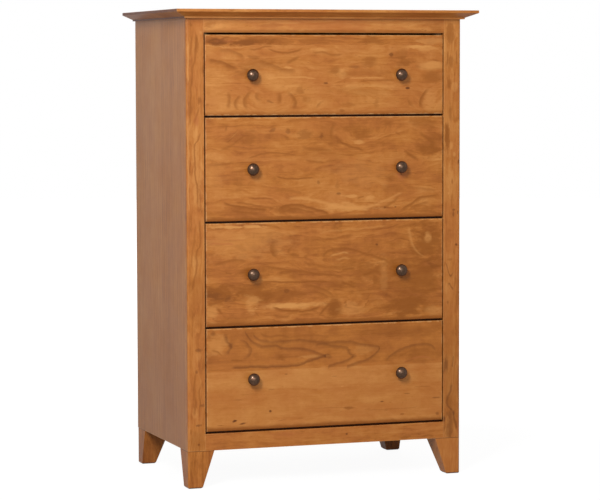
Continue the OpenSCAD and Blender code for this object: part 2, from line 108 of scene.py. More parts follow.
class Sheet:
    """A node tree, with short ways to add nodes to it and join them."""

    def __init__(self, tree: bpy.types.NodeTree) -> None:
        """Starts on a tree with nothing in it."""
        self.tree = tree
        tree.nodes.clear()

    def feed(self, socket: Socket, value: Feed | None) -> None:
        """Links a socket to another one, sets it to a constant, or leaves it for None.

        Args:
            socket: The input.
            value: What goes into it.
        """
        if isinstance(value, bpy.types.NodeSocket):
            self.tree.links.new(value, socket)
        elif value is not None:
            socket.default_value = value

    def add(self, kind: str, *feeds: Feed | None, **settings: object) -> bpy.types.Node:
        """Adds a shader node.

        Args:
            kind: The node's type without its ShaderNode prefix.
            feeds: What goes into its inputs, in order.
            settings: The node's own options.

        Returns:
            The new node.
        """
        node = self.tree.nodes.new(f"ShaderNode{kind}")
        for option, value in settings.items():
            setattr(node, option, value)
        for socket, value in zip(node.inputs, feeds):
            self.feed(socket, value)
        return node

    def math(self, operation: str, *feeds: Feed, clamp: bool = False) -> Socket:
        """Adds a Math node and returns its result."""
        return self.add("Math", *feeds, operation=operation, use_clamp=clamp).outputs[0]

    def total(self, *feeds: Feed) -> Socket:
        """Adds up any number of values.

        Args:
            feeds: The values.

        Returns:
            Their sum.
        """
        result = feeds[0]
        for value in feeds[1:]:
            result = self.math("ADD", result, value)
        return result

    def vector(self, operation: str, *feeds: Feed) -> Socket:
        """Adds a Vector Math node and returns its vector."""
        return self.add("VectorMath", *feeds, operation=operation).outputs["Vector"]

    def split(self, vector: Feed) -> tuple[Socket, Socket, Socket]:
        """Returns a vector's three parts."""
        return tuple(self.add("SeparateXYZ", vector).outputs)

    def join(self, x: Feed, y: Feed, z: Feed) -> Socket:
        """Makes a vector of three values."""
        return self.add("CombineXYZ", x, y, z).outputs[0]

    def shrunk(self, vector: Feed, size: Feed, centre: Feed | None = None,
               turn: Feed | None = None) -> Socket:
        """Measures a vector in units of size from a centre, in a turned frame."""
        return self.add("Mapping", vector, centre, turn, size, vector_type="TEXTURE").outputs[0]

    def scaled(self, value: Feed, factor: Feed) -> Socket:
        """Multiplies a value."""
        return self.math("MULTIPLY", value, factor)

    def swing(self, value: Feed, reach: float) -> Socket:
        """Turns a value about one half into one about zero, that goes half of reach either way."""
        return self.math("MULTIPLY_ADD", value, reach, -0.5 * reach)

    def length(self, vector: Feed) -> Socket:
        """Measures a vector."""
        return self.add("VectorMath", vector, operation="LENGTH").outputs["Value"]

    def dot(self, first: Feed, second: Feed) -> Socket:
        """Multiplies two vectors into one value."""
        return self.add("VectorMath", first, second, operation="DOT_PRODUCT").outputs["Value"]

    def coordinate(self, name: str) -> Socket:
        """Reads the coordinates that have this name."""
        return self.add("TexCoord").outputs[name]

    def noise(self, vector: Feed, scale: float = 1.0, detail: float = 2.0,
              rough: float = 0.5) -> Socket:
        """Adds a Noise Texture.

        Args:
            vector: Where it is read.
            scale: How many of its cells fit in one unit.
            detail: How many finer layers it has.
            rough: How strong the finer layers are.

        Returns:
            Its value, which stays near one half.
        """
        node = self.add("TexNoise", vector)
        for name, value in (("Scale", scale), ("Detail", detail), ("Roughness", rough)):
            self.feed(node.inputs[name], value)
        return node.outputs[0]

    def ramp(self, value: Feed, start: Feed, end: Feed, low: Feed = 0.0,
             high: Feed = 1.0) -> Socket:
        """Eases a value from low at start to high at end, and holds it beyond them."""
        node = self.add("MapRange", value, start, end, low, high, interpolation_type="SMOOTHSTEP")
        return node.outputs[0]

    def blend(self, share: Feed, first: Feed, second: Feed) -> Socket:
        """Mixes two values.

        Args:
            share: How much of the second one goes in.
            first: The first value.
            second: The second value.

        Returns:
            The mixture.
        """
        node = self.add("Mix", share, data_type="FLOAT")
        self.feed(node.inputs[2], first)
        self.feed(node.inputs[3], second)
        return node.outputs[0]

    def tint(self, share: Feed, first: Feed, second: Feed, way: str = "MIX") -> Socket:
        """Mixes two colours.

        Args:
            share: How much of the second one goes in.
            first: The first colour.
            second: The second colour.
            way: The way of mixing, as the Mix node names it.

        Returns:
            The mixture.
        """
        node = self.add("Mix", share, data_type="RGBA", blend_type=way)
        self.feed(node.inputs[6], first)
        self.feed(node.inputs[7], second)
        return node.outputs[2]

    def place(self, pattern: "Pattern", **feeds: Feed) -> Mapping[str, Socket]:
        """Places a shared pattern with its own values.

        Args:
            pattern: The pattern.
            feeds: What goes into its inputs, by their names with underscores for the spaces.

        Returns:
            Its outputs by name.
        """
        node = self.tree.nodes.new("ShaderNodeGroup")
        node.node_tree = pattern.tree()
        for name, value in feeds.items():
            self.feed(node.inputs[name.replace("_", " ")], value)
        return node.outputs

    def bump(self, height: Feed, depth: float, strength: float) -> Socket:
        """Turns a height into a normal.

        Args:
            height: The height, from 0 to 1.
            depth: How many metres a height of 1 stands for.
            strength: How much of the relief shows.

        Returns:
            The normal.
        """
        node = self.add("Bump", strength)
        self.feed(node.inputs["Distance"], depth)
        self.feed(node.inputs["Height"], height)
        return node.outputs[0]

    def surface(self, values: Mapping[str, Feed]) -> None:
        """Ends the tree in a principled surface.

        Args:
            values: What goes into the inputs of the shader by name.
        """
        shader = self.add("BsdfPrincipled")
        for name, value in values.items():
            self.feed(shader.inputs[name], value)
        self.add("OutputMaterial", shader.outputs[0])


class Kind(Enum):
    """The kinds of socket that a shared pattern has."""

    VALUE = "NodeSocketFloat"
    VECTOR = "NodeSocketVector"


@dataclass(frozen=True)
class Pattern:
    """A shader node group that several materials share.

    Attributes:
        name: The group's name.
        takes: Its inputs, each with its kind.
        gives: Its outputs, which are all values.
        draw: Draws the nodes between the inputs and the outputs.
    """

    name: str
    takes: Mapping[str, Kind]
    gives: tuple[str, ...]
    draw: Callable[[Sheet, Mapping[str, Socket]], Sequence[Feed]]

    def tree(self) -> bpy.types.NodeTree:
        """Builds the group when it is first asked for.

        Returns:
            The group.
        """
        if self.name in bpy.data.node_groups:
            return bpy.data.node_groups[self.name]
        tree = bpy.data.node_groups.new(self.name, "ShaderNodeTree")
        sheet = Sheet(tree)
        for name, kind in self.takes.items():
            tree.interface.new_socket(name, in_out="INPUT", socket_type=kind.value)
        for name in self.gives:
            tree.interface.new_socket(name, in_out="OUTPUT", socket_type=Kind.VALUE.value)
        given = tree.nodes.new("NodeGroupInput").outputs
        result = tree.nodes.new("NodeGroupOutput").inputs
        for name, value in zip(self.gives, self.draw(sheet, given)):
            sheet.feed(result[name], value)
        return tree


def draw_growth_rings(sheet: Sheet, given: Mapping[str, Socket]) -> Sequence[Feed]:
    """Draws growth rings as the face of a board cuts them.

    Args:
        sheet: The nodes of the group.
        given: The inputs of the group by name.

    Returns:
        The dark line where each ring ends, a tone for each ring, and streaks along them.
    """
    along, depth, across = sheet.split(given["Vector"])
    spot = sheet.vector("ADD", given["Vector"], sheet.join(0.0, given["Seed"], 0.0))
    spot = sheet.shrunk(spot, given["Size"])
    slow = sheet.swing(sheet.noise(spot, detail=1.5), 2.0)
    quick = sheet.swing(sheet.noise(spot, scale=5.0, detail=3.0), 0.4)
    bend = sheet.scaled(sheet.math("ADD", slow, quick), given["Swirl"])
    level = sheet.math("DIVIDE", sheet.math("MULTIPLY_ADD", depth, 0.4, across), given["Width"])
    field = sheet.total(level, bend, given["Rise"])
    ring = sheet.math("FLOOR", field)
    part = sheet.math("FRACT", field)
    count = sheet.math("ADD", ring, given["Seed"])
    chance = sheet.add("TexWhiteNoise", None, count, noise_dimensions="1D").outputs[0]
    late = sheet.scaled(sheet.math("POWER", part, 4.0), 0.7)
    early = sheet.math("MULTIPLY_ADD", part, -8.0, 0.7, clamp=True)
    fade = sheet.ramp(sheet.noise(spot, scale=1.7, detail=1.0), 0.34, 0.6, 0.3, 1.0)
    strength = sheet.scaled(sheet.math("MULTIPLY_ADD", chance, 0.7, 0.3), fade)
    line = sheet.scaled(sheet.math("MAXIMUM", late, early), strength)
    follow = sheet.join(sheet.scaled(along, 0.02), sheet.scaled(field, 1.9), given["Seed"])
    return line, chance, sheet.noise(follow, detail=4.0, rough=0.7)


def draw_swelling(sheet: Sheet, given: Mapping[str, Socket]) -> Sequence[Feed]:
    """Raises the rings in a smooth hill, which the face of a board cuts into closed loops.

    Args:
        sheet: The nodes of the group.
        given: The inputs of the group by name.

    Returns:
        The height of the rings, in rings.
    """
    spot = sheet.shrunk(given["Vector"], given["Size"], given["Centre"], given["Turn"])
    hill = sheet.math("EXPONENT", sheet.scaled(sheet.dot(spot, spot), -1.0))
    return (sheet.math("MULTIPLY_ADD", hill, given["Height"], given["Base"]),)


def draw_stain(sheet: Sheet, given: Mapping[str, Socket]) -> Sequence[Feed]:
    """Masks one streak, knot or cloudy patch with a ragged, soft rim.

    Args:
        sheet: The nodes of the group.
        given: The inputs of the group by name.

    Returns:
        The mask.
    """
    spot = sheet.shrunk(given["Vector"], given["Size"], given["Centre"], given["Turn"])
    reach = sheet.math("ADD", sheet.length(spot), given["Ragged"])
    return (sheet.ramp(reach, 0.35, 1.15, given["Strength"], 0.0),)


def draw_vein(sheet: Sheet, given: Mapping[str, Socket]) -> Sequence[Feed]:
    """Masks a line with its own softness on each side, which fades towards its ends.

    Args:
        sheet: The nodes of the group.
        given: The inputs of the group by name.

    Returns:
        The mask.
    """
    upper = sheet.ramp(given["Past"], 0.0, given["Above"], 1.0, 0.0)
    lower = sheet.ramp(sheet.scaled(given["Past"], -1.0), 0.0, given["Below"], 1.0, 0.0)
    whole_from = sheet.math("ADD", given["Start"], given["Fade In"])
    whole_to = sheet.math("SUBTRACT", given["End"], given["Fade Out"])
    begun = sheet.ramp(given["Along"], given["Start"], whole_from)
    ended = sheet.ramp(given["Along"], whole_to, given["End"], 1.0, 0.0)
    mask = sheet.scaled(sheet.scaled(upper, lower), sheet.scaled(begun, ended))
    return (sheet.scaled(mask, given["Strength"]),)


def draw_ragged(sheet: Sheet, given: Mapping[str, Socket]) -> Sequence[Feed]:
    """Draws the unevenness that stains and veins share.

    Args:
        sheet: The nodes of the group.
        given: The inputs of the group by name.

    Returns:
        An unevenness about zero for rims, and a shift in mm for lines.
    """
    rough = sheet.noise(sheet.shrunk(given["Vector"], RIMS), detail=3.0, rough=0.65)
    slow = sheet.noise(given["Vector"], scale=0.035, detail=3.0)
    return sheet.swing(rough, 2.6), sheet.swing(slow, 9.0)


def draw_fibres(sheet: Sheet, given: Mapping[str, Socket]) -> Sequence[Feed]:
    """Draws the fibres.

    Args:
        sheet: The nodes of the group.
        given: The inputs of the group by name.

    Returns:
        Fine streaks along them, curl across them, cloudy tone and short dark flecks.
    """
    spot = sheet.vector("ADD", given["Vector"], sheet.join(0.0, given["Seed"], 0.0))
    streak = sheet.noise(sheet.shrunk(spot, STREAKS), detail=3.0, rough=0.6)
    curl = sheet.noise(sheet.shrunk(spot, CURLS), detail=1.5)
    cloud = sheet.noise(sheet.shrunk(spot, CLOUDS), detail=3.0)
    fleck = sheet.noise(sheet.shrunk(spot, FLECKS), detail=1.0)
    return streak, curl, cloud, sheet.ramp(fleck, 0.72, 0.8)


# The band stands for worn wood and also for a painted highlight on the eased edges.
def draw_worn_and_lit_edges(sheet: Sheet, given: Mapping[str, Socket]) -> Sequence[Feed]:
    """Masks a ragged band along the edges of a board that lies between two corners.

    Args:
        sheet: The nodes of the group.
        given: The inputs of the group by name.

    Returns:
        The mask.
    """
    inward = sheet.vector("MINIMUM", sheet.vector("SUBTRACT", given["Vector"], given["Low"]),
                          sheet.vector("SUBTRACT", given["High"], given["Vector"]))
    x, y, z = sheet.split(inward)
    middle = sheet.math("MINIMUM", sheet.math("MAXIMUM", x, y), z)
    middle = sheet.math("MAXIMUM", sheet.math("MINIMUM", x, y), middle)
    ragged = sheet.noise(given["Vector"], scale=60.0, detail=3.0, rough=0.6)
    width = sheet.scaled(given["Width"], sheet.ramp(ragged, 0.35, 0.65, 0.4, 1.3))
    return (sheet.ramp(middle, 0.0, width, 1.0, 0.0),)


def draw_handling(sheet: Sheet, given: Mapping[str, Socket]) -> Sequence[Feed]:
    """Draws what years of use leave in a sheen.

    Args:
        sheet: The nodes of the group.
        given: The inputs of the group by name.

    Returns:
        Cloudy smears, and fine dust.
    """
    smear = sheet.noise(given["Vector"], scale=9.0, detail=4.0, rough=0.6)
    dust = sheet.ramp(sheet.noise(given["Vector"], scale=420.0, detail=2.0), 0.6, 0.75)
    return sheet.ramp(smear, 0.35, 0.7), dust


GROWTH_RINGS = Pattern("growth_rings", {
    "Vector": Kind.VECTOR, "Size": Kind.VECTOR, "Width": Kind.VALUE, "Swirl": Kind.VALUE,
    "Rise": Kind.VALUE, "Seed": Kind.VALUE}, ("Line", "Band", "Flow"), draw_growth_rings)
SWELLING = Pattern("swelling", {
    "Vector": Kind.VECTOR, "Centre": Kind.VECTOR, "Size": Kind.VECTOR, "Turn": Kind.VECTOR,
    "Height": Kind.VALUE, "Base": Kind.VALUE}, ("Rise",), draw_swelling)
STAIN = Pattern("stain", {
    "Vector": Kind.VECTOR, "Centre": Kind.VECTOR, "Size": Kind.VECTOR, "Turn": Kind.VECTOR,
    "Ragged": Kind.VALUE, "Strength": Kind.VALUE}, ("Mask",), draw_stain)
VEIN = Pattern("vein", {
    "Past": Kind.VALUE, "Along": Kind.VALUE, "Start": Kind.VALUE, "End": Kind.VALUE,
    "Fade In": Kind.VALUE, "Fade Out": Kind.VALUE, "Above": Kind.VALUE, "Below": Kind.VALUE,
    "Strength": Kind.VALUE}, ("Mask",), draw_vein)
RAGGED = Pattern("ragged", {"Vector": Kind.VECTOR}, ("Uneven", "Shift"), draw_ragged)
FIBRES = Pattern("fibres", {"Vector": Kind.VECTOR, "Seed": Kind.VALUE},
                 ("Streak", "Curl", "Cloud", "Fleck"), draw_fibres)
WORN_AND_LIT_EDGES = Pattern("worn_and_lit_edges", {
    "Vector": Kind.VECTOR, "Low": Kind.VECTOR, "High": Kind.VECTOR,
    "Width": Kind.VALUE}, ("Mask",), draw_worn_and_lit_edges)
HANDLING = Pattern("handling", {"Vector": Kind.VECTOR}, ("Smear", "Dust"), draw_handling)


class Grain(Enum):
    """How a board lies: the chest's axes along its fibres, into its face and across its fibres."""

    RAIL = ((1, 0, 0), (0, 1, 0), (0, 0, 1))
    STILE = ((0, 0, 1), (0, 1, 0), (-1, 0, 0))
    SIDE = ((0, 0, 1), (1, 0, 0), (0, 1, 0))
    DRAWER_SIDE = ((0, 1, 0), (-1, 0, 0), (0, 0, 1))
    TOP = ((1, 0, 0), (0, 0, -1), (0, 1, 0))
    RUNNER = ((0, 1, 0), (0, 0, 1), (1, 0, 0))

    def turn(self) -> Euler:
        """Returns the turn from the chest's axes to the board's."""
        return Matrix(self.value).to_euler()


class Tone(Enum):
    """What a mark in the wood looks like: the field of its timber that holds its colour."""

    PALE = "pale"
    DEEP = "deep"
    RUDDY = "ruddy"
    KNOT = "dark"


class Mark:
    """Something that lies on the face of a board.

    Attributes:
        at: Its middle along and across the board, in mm.
        size: Its reach along and across, in mm.
        turn: Its turn on the face, in degrees.
    """

    at: Point
    size: Point
    turn: float

    def spread(self) -> dict[str, Triple]:
        """Returns where it lies and how far it reaches, as its pattern takes them."""
        return {"Centre": (self.at[0], 0.0, self.at[1]), "Size": (self.size[0], FAR, self.size[1]),
                "Turn": (0.0, -math.radians(self.turn), 0.0)}


@dataclass(frozen=True)
class Swelling(Mark):
    """A hill in the growth rings.

    Attributes:
        at: Its middle along and across the board, in mm.
        size: Its reach along and across, in mm.
        rings: How many rings high it is.
        turn: Its turn on the board's face, in degrees.
    """

    at: Point
    size: Point
    rings: float
    turn: float = 0.0


@dataclass(frozen=True)
class Stain(Mark):
    """A streak, knot or cloudy patch.

    Attributes:
        tone: What it looks like.
        at: Its middle along and across the board, in mm.
        size: Its reach along and across, in mm.
        strength: How much it covers the wood, from 0 to 1.
        turn: Its turn on the board's face, in degrees.
        ragged: How uneven its rim is.
    """

    tone: Tone
    at: Point
    size: Point
    strength: float = 0.6
    turn: float = 0.0
    ragged: float = 1.0


@dataclass(frozen=True)
class Vein:
    """A curved line in the figure, such as the edge of one growth ring.

    Attributes:
        path: Points that it runs through, in mm along and across the board, in order along it.
        strength: How much it covers the wood, from 0 to 1.
        above: How far it fades out on the side of growing values across, in mm.
        below: How far it fades out on the other side, in mm.
        tone: What it looks like.
        upright: Whether it runs across the board, so that its points are in order across it.
        fade: Lengths over which its start and its end fade, in mm.
    """

    path: tuple[Point, ...]
    strength: float = 0.4
    above: float = 5.0
    below: float = 5.0
    tone: Tone = Tone.DEEP
    upright: bool = False
    fade: Point = (14.0, 14.0)

    def runs(self) -> tuple[Point, ...]:
        """Returns its points with the coordinate that it runs along first."""
        return tuple((b, a) for a, b in self.path) if self.upright else self.path


@dataclass(frozen=True)
class Strip:
    """One of the narrow boards that are glued edge to edge into a wide one.

    Attributes:
        end: Where it ends across the wide board, in mm.
        shade: How much paler than the timber's mean it is.
        ring: Mean width of a ring on its face, in mm.
        line: Strength of its dark ring lines.
        swirl: How many rings the slow bends shift.
        seed: Sets it apart from other strips.
    """

    end: float = FAR
    shade: float = 0.0
    ring: float = 11.0
    line: float = 0.5
    swirl: float = 2.0
    seed: float = 0.0


@dataclass(frozen=True)
class Figure:
    """Everything that sets one board's face apart from the next.

    Attributes:
        strips: Its glued strips, in order across the board.
        swellings: Hills in its rings.
        stains: Its streaks, knots and patches.
        veins: Its curved lines.
        bends: Size of the slow bends along, into and across the board, in mm.
        contrast: How lively it is beside other boards of the same timber.
        edge: Width in mm and strength of the paler band along its edges, which stands for worn wood
            and a painted highlight where the eased edges catch the light.
        gap_shade: How much painted shade darkens its faces in the gaps, from 0 to 1.
        spared: How far below the board the band along its lower edge starts, in mm, so that
            no band shows there.
    """

    strips: tuple[Strip, ...] = (Strip(),)
    swellings: tuple[Swelling, ...] = ()
    stains: tuple[Stain, ...] = ()
    veins: tuple[Vein, ...] = ()
    bends: Triple = BENDS
    contrast: float = 1.0
    edge: Point = (2.5, 0.4)
    gap_shade: float = 0.0
    spared: float = 0.0

    @classmethod
    def plain(cls, ring: float, line: float, swirl: float, seed: float,
              bends: Triple = BENDS) -> "Figure":
        """Makes the figure of a board in one piece without marks."""
        return cls((Strip(ring=ring, line=line, swirl=swirl, seed=seed),), bends=bends)


@dataclass(frozen=True)
class Timber:
    """A species of wood with its finish.

    Attributes:
        name: What the material is called.
        dark: Colour of the ring lines and knots.
        deep: Colour of the deeper wood.
        mean: Its mean colour.
        pale: Colour of the sapwood.
        ruddy: Colour of its redder patches.
        worn: Colour of the bands along its edges, which stand for worn wood and a painted
            highlight.
        end: Tint of its end grain.
        contrast: How much fibres, curl and clouds show.
        sheen: Roughness of the finish.
        shine: How strongly the finish reflects.
        relief: How deep the pores and ring lines are, in mm.
        gap_shade_colour: Colour of the shade painted on the faces in the gaps beside it.
    """

    name: str
    dark: Colour
    deep: Colour
    mean: Colour
    pale: Colour
    ruddy: Colour
    worn: Colour
    end: Colour
    contrast: float = 1.0
    sheen: float = 0.42
    shine: float = 0.28
    relief: float = 0.1
    # Colour of the shade painted on the faces in the gaps.
    gap_shade_colour: Colour = paint("6a2002")

    @classmethod
    def of(cls, name: str, codes: str, **rest: float) -> "Timber":
        """Makes a timber of the codes of its seven colours, in the order of its fields."""
        return cls(name, *map(paint, codes.split()), **rest)

    def material(self, node: str, grain: Grain, figure: Figure) -> bpy.types.Material:
        """Makes the material of one board.

        Args:
            node: The CAD node that it is for, which gives the board's corners.
            grain: How the board lies.
            figure: Its rings and marks.

        Returns:
            The new material.
        """
        made = bpy.data.materials.new(f"{self.name}.{node}")
        made.use_nodes = True
        sheet = Sheet(made.node_tree)
        spot = sheet.coordinate("Object")
        board = sheet.add("Mapping", spot, None, grain.turn(), (1 / MM,) * 3).outputs[0]
        strip = self.strip_values(sheet, board, figure.strips)
        rings = sheet.place(GROWTH_RINGS, Vector=board, Size=figure.bends, Width=strip["ring"],
                            Swirl=strip["swirl"], Seed=strip["seed"],
                            Rise=self.rise(sheet, board, figure))
        fibres = sheet.place(FIBRES, Vector=board, Seed=strip["seed"])
        line = sheet.scaled(rings["Line"], strip["line"])
        contrast = figure.contrast * self.contrast
        colour = self.wood_colour(sheet, strip["shade"], rings, line, fibres, contrast)
        ragged = sheet.place(RAGGED, Vector=board) if figure.stains or figure.veins else {}
        for stain in figure.stains:
            colour = self.stained(sheet, board, ragged["Uneven"], colour, stain)
        for vein in figure.veins:
            colour = self.veined(sheet, board, ragged["Shift"], colour, vein)
        low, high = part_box(node)
        # Paler band along the edges: worn wood, and a painted highlight where the eased edges catch
        # the light.
        width, strength = figure.edge
        lowest = low - Vector((0.0, 0.0, figure.spared * MM))
        worn = sheet.place(WORN_AND_LIT_EDGES, Vector=spot, Low=lowest, High=high, Width=width * MM)["Mask"]
        colour = sheet.tint(sheet.scaled(worn, strength), colour, self.worn)
        # Painted shade: the faces in the gaps round the board are darkened, because little light
        # reaches there.
        if figure.gap_shade:
            gap_shaded = self.gap_painted_shade(sheet, board, low.y / MM, figure.gap_shade)
            colour = sheet.tint(gap_shaded, colour, self.gap_shade_colour)
        colour = sheet.tint(self.end_grain(sheet, grain), colour, self.end, "MULTIPLY")
        self.finish(sheet, spot, colour, line, worn, fibres)
        return made

    def end_grain(self, sheet: Sheet, grain: Grain) -> Socket:
        """Masks the faces that cut across the fibres, which drink more finish and look darker."""
        along = sheet.dot(sheet.coordinate("Normal"), grain.value[0])
        return sheet.ramp(sheet.math("ABSOLUTE", along), 0.25, 0.8)

    # Painted shade: darkens the faces inside the gaps, where little light reaches.
    def gap_painted_shade(self, sheet: Sheet, board: Socket, front: float, strength: float) -> Socket:
        """Masks the faces that lie in the gaps round a board, most of all near its front.

        Args:
            sheet: The material's nodes.
            board: The point's place on the board, in mm.
            front: Where the board's front face is, in mm.
            strength: How dark the painted shade is.

        Returns:
            The mask.
        """
        depth = sheet.math("SUBTRACT", sheet.split(board)[1], front)
        facing = sheet.split(sheet.coordinate("Normal"))[1]
        inside = sheet.ramp(sheet.math("ABSOLUTE", facing), 0.25, 0.6, 1.0, 0.0)
        near = sheet.scaled(sheet.ramp(depth, *GAP_SHADE_BEGINS, 0.0, strength), inside)
        return sheet.scaled(near, sheet.ramp(depth, *GAP_SHADE_THINS, 1.0, GAP_SHADE_DEEP_IN))

    def strip_values(self, sheet: Sheet, board: Socket,
                     strips: Sequence[Strip]) -> dict[str, Feed]:
        """Finds which glued strip a point is on.

        Args:
            sheet: The nodes of the material.
            board: Where the point is on the board, in mm.
            strips: The strips, in order across the board.

        Returns:
            The values of that strip by name.
        """
        across = sheet.split(board)[2]
        names = ("shade", "ring", "line", "swirl", "seed")
        values: dict[str, Feed] = {name: getattr(strips[0], name) for name in names}
        for before, after in zip(strips, strips[1:]):
            past = sheet.math("GREATER_THAN", across, before.end)
            values = {name: sheet.blend(past, values[name], getattr(after, name)) for name in names}
        return values

    def rise(self, sheet: Sheet, board: Socket, figure: Figure) -> Feed:
        """Adds up the hills in a board's rings.

        Args:
            sheet: The nodes of the material.
            board: Where the point is on the board, in mm.
            figure: The figure that has the hills.

        Returns:
            Their height there, in rings.
        """
        rise: Feed = 0.0
        for hill in figure.swellings:
            rise = sheet.place(SWELLING, Vector=board, **hill.spread(), Height=hill.rings,
                               Base=rise)["Rise"]
        return rise

    def wood_colour(self, sheet: Sheet, shade: Feed, rings: Mapping[str, Socket], line: Feed,
                    fibres: Mapping[str, Socket], contrast: float) -> Socket:
        """Blends the timber's colours by its rings, fibres, curl and clouds.

        Args:
            sheet: The material's nodes.
            shade: How much paler than the mean the wood is.
            rings: What the growth rings give.
            line: Strength of the dark ring lines.
            fibres: What the fibres give.
            contrast: How lively the board is.

        Returns:
            The wood's colour.
        """
        parts = [sheet.swing(source[name], weight * contrast)
                 for source, weights in ((rings, RING_WEIGHTS), (fibres, FIBRE_WEIGHTS))
                 for name, weight in weights.items()]
        level = sheet.math("SUBTRACT", sheet.total(shade, MEAN_TONE, *parts), line)
        scale = sheet.add("ValToRGB", level)
        stops = scale.color_ramp.elements
        stops[0].position, stops[0].color = 0.0, self.dark
        stops[1].position, stops[1].color = 1.0, self.pale
        for place, colour in ((0.25, self.deep), (0.5, self.mean)):
            stops.new(place).color = colour
        red = sheet.ramp(fibres["Cloud"], 0.35, 0.65, RUDDY_SHARE * contrast, 0.0)
        colour = sheet.tint(red, scale.outputs[0], self.ruddy)
        return sheet.tint(sheet.scaled(fibres["Fleck"], FLECK_SHARE * contrast), colour, self.dark)

    def tone(self, tone: Tone) -> Colour:
        """Returns the colour of a mark."""
        return getattr(self, tone.value)

    def stained(self, sheet: Sheet, board: Socket, uneven: Socket, colour: Socket,
                stain: Stain) -> Socket:
        """Lays one stain over a board's colour.

        Args:
            sheet: The nodes of the material.
            board: Where the point is on the board, in mm.
            uneven: How much the rim strays here.
            colour: The colour of the board so far.
            stain: The stain.

        Returns:
            The colour with the stain.
        """
        mask = sheet.place(STAIN, Vector=board, **stain.spread(), Strength=stain.strength,
                           Ragged=sheet.scaled(uneven, stain.ragged))["Mask"]
        return sheet.tint(mask, colour, self.tone(stain.tone))

    def veined(self, sheet: Sheet, board: Socket, shift: Socket, colour: Socket,
               vein: Vein) -> Socket:
        """Draws one vein over a board's colour.

        Args:
            sheet: The material's nodes.
            board: The point's place on the board, in mm.
            shift: How far the line strays here, in mm.
            colour: The board's colour so far.
            vein: The line.

        Returns:
            The colour with the vein.
        """
        x, _, z = sheet.split(board)
        along, across = (z, x) if vein.upright else (x, z)
        path = vein.runs()
        start, end = path[0][0], path[-1][0]
        low = min(level for _, level in path)
        high = max(level for _, level in path) + 1.0
        share = sheet.add("MapRange", along, start, end).outputs[0]
        curve = sheet.add("FloatCurve", 1.0, share)
        knots = curve.mapping.curves[0].points
        spots = [((at - start) / (end - start), (level - low) / (high - low)) for at, level in path]
        knots[0].location = spots[0]
        knots[1].location = spots[-1]
        for spot in spots[1:-1]:
            knots.new(*spot)
        curve.mapping.update()
        height = sheet.math("MULTIPLY_ADD", curve.outputs[0], high - low, low)
        past = sheet.math("ADD", sheet.math("SUBTRACT", across, height), shift)
        mask = sheet.place(VEIN, Past=past, Along=along, Start=start, End=end,
                           Fade_In=vein.fade[0], Fade_Out=vein.fade[1], Above=vein.above,
                           Below=vein.below, Strength=vein.strength)["Mask"]
        return sheet.tint(mask, colour, self.tone(vein.tone))

    def finish(self, sheet: Sheet, spot: Socket, colour: Socket, line: Feed, worn: Socket,
               fibres: Mapping[str, Socket]) -> None:
        """Lays a rubbed satin finish over a board's colour.

        Args:
            sheet: The nodes of the material.
            spot: Where the point is, in m.
            colour: The colour of the board.
            line: How strong the dark ring lines are.
            worn: Mask of the paler band along the edges, where hands have rubbed the finish and a
                highlight is painted.
            fibres: What the fibres give.
        """
        handling = sheet.place(HANDLING, Vector=spot)
        rough = sheet.total(self.sheen, sheet.scaled(handling["Smear"], 0.06),
                            sheet.scaled(handling["Dust"], 0.05), sheet.scaled(line, 0.08),
                            sheet.scaled(worn, -0.06))
        height = sheet.total(sheet.scaled(fibres["Streak"], 0.5), sheet.scaled(line, -0.4),
                             sheet.scaled(fibres["Fleck"], -0.5))
        normal = sheet.bump(height, self.relief * MM, 0.25)
        sheet.surface({"Base Color": colour, "Roughness": rough, "Normal": normal,
                       "Specular IOR Level": self.shine})


CHERRY = Timber.of("cherry", "602e05 8f5015 b26c2b d08f4c b26633 dba468 a08c80", sheen=0.36)
# Cherry for the side boards, paler and greyer: a painted sheen of the bright surroundings that the
# sides reflect at a grazing view.
CHERRY_PAINTED_SHEEN = replace(CHERRY, deep=paint("8f572b"), mean=paint("b2723a"), pale=paint("d0955b"),
                ruddy=paint("b26c42"))
# Dark stained poplar for the frame fronts, darker still as painted shade in the gaps they show
# through.
STAINED_AND_SHADED = Timber.of("stained_poplar", "260b02 361403 421a06 54240e 401403 54240e a09080",
                    contrast=0.6, sheen=0.5)
MAPLE = Timber.of("maple", "a98a5a c6a878 d8bd8f e6d2ab d9b58a e6d2ab d0c0b0",
                  contrast=0.6, sheen=0.5)
POPLAR = Timber.of("poplar", "8d8258 b5a275 c8b68a dacba3 c2ae88 dacba3 c8b8a8",
                   contrast=0.8, sheen=0.6)
BIRCH = Timber.of("birch", "a67c4a c09a64 cfac78 dfc292 cda072 dfc292 c8b098",
                  contrast=0.8, sheen=0.5)


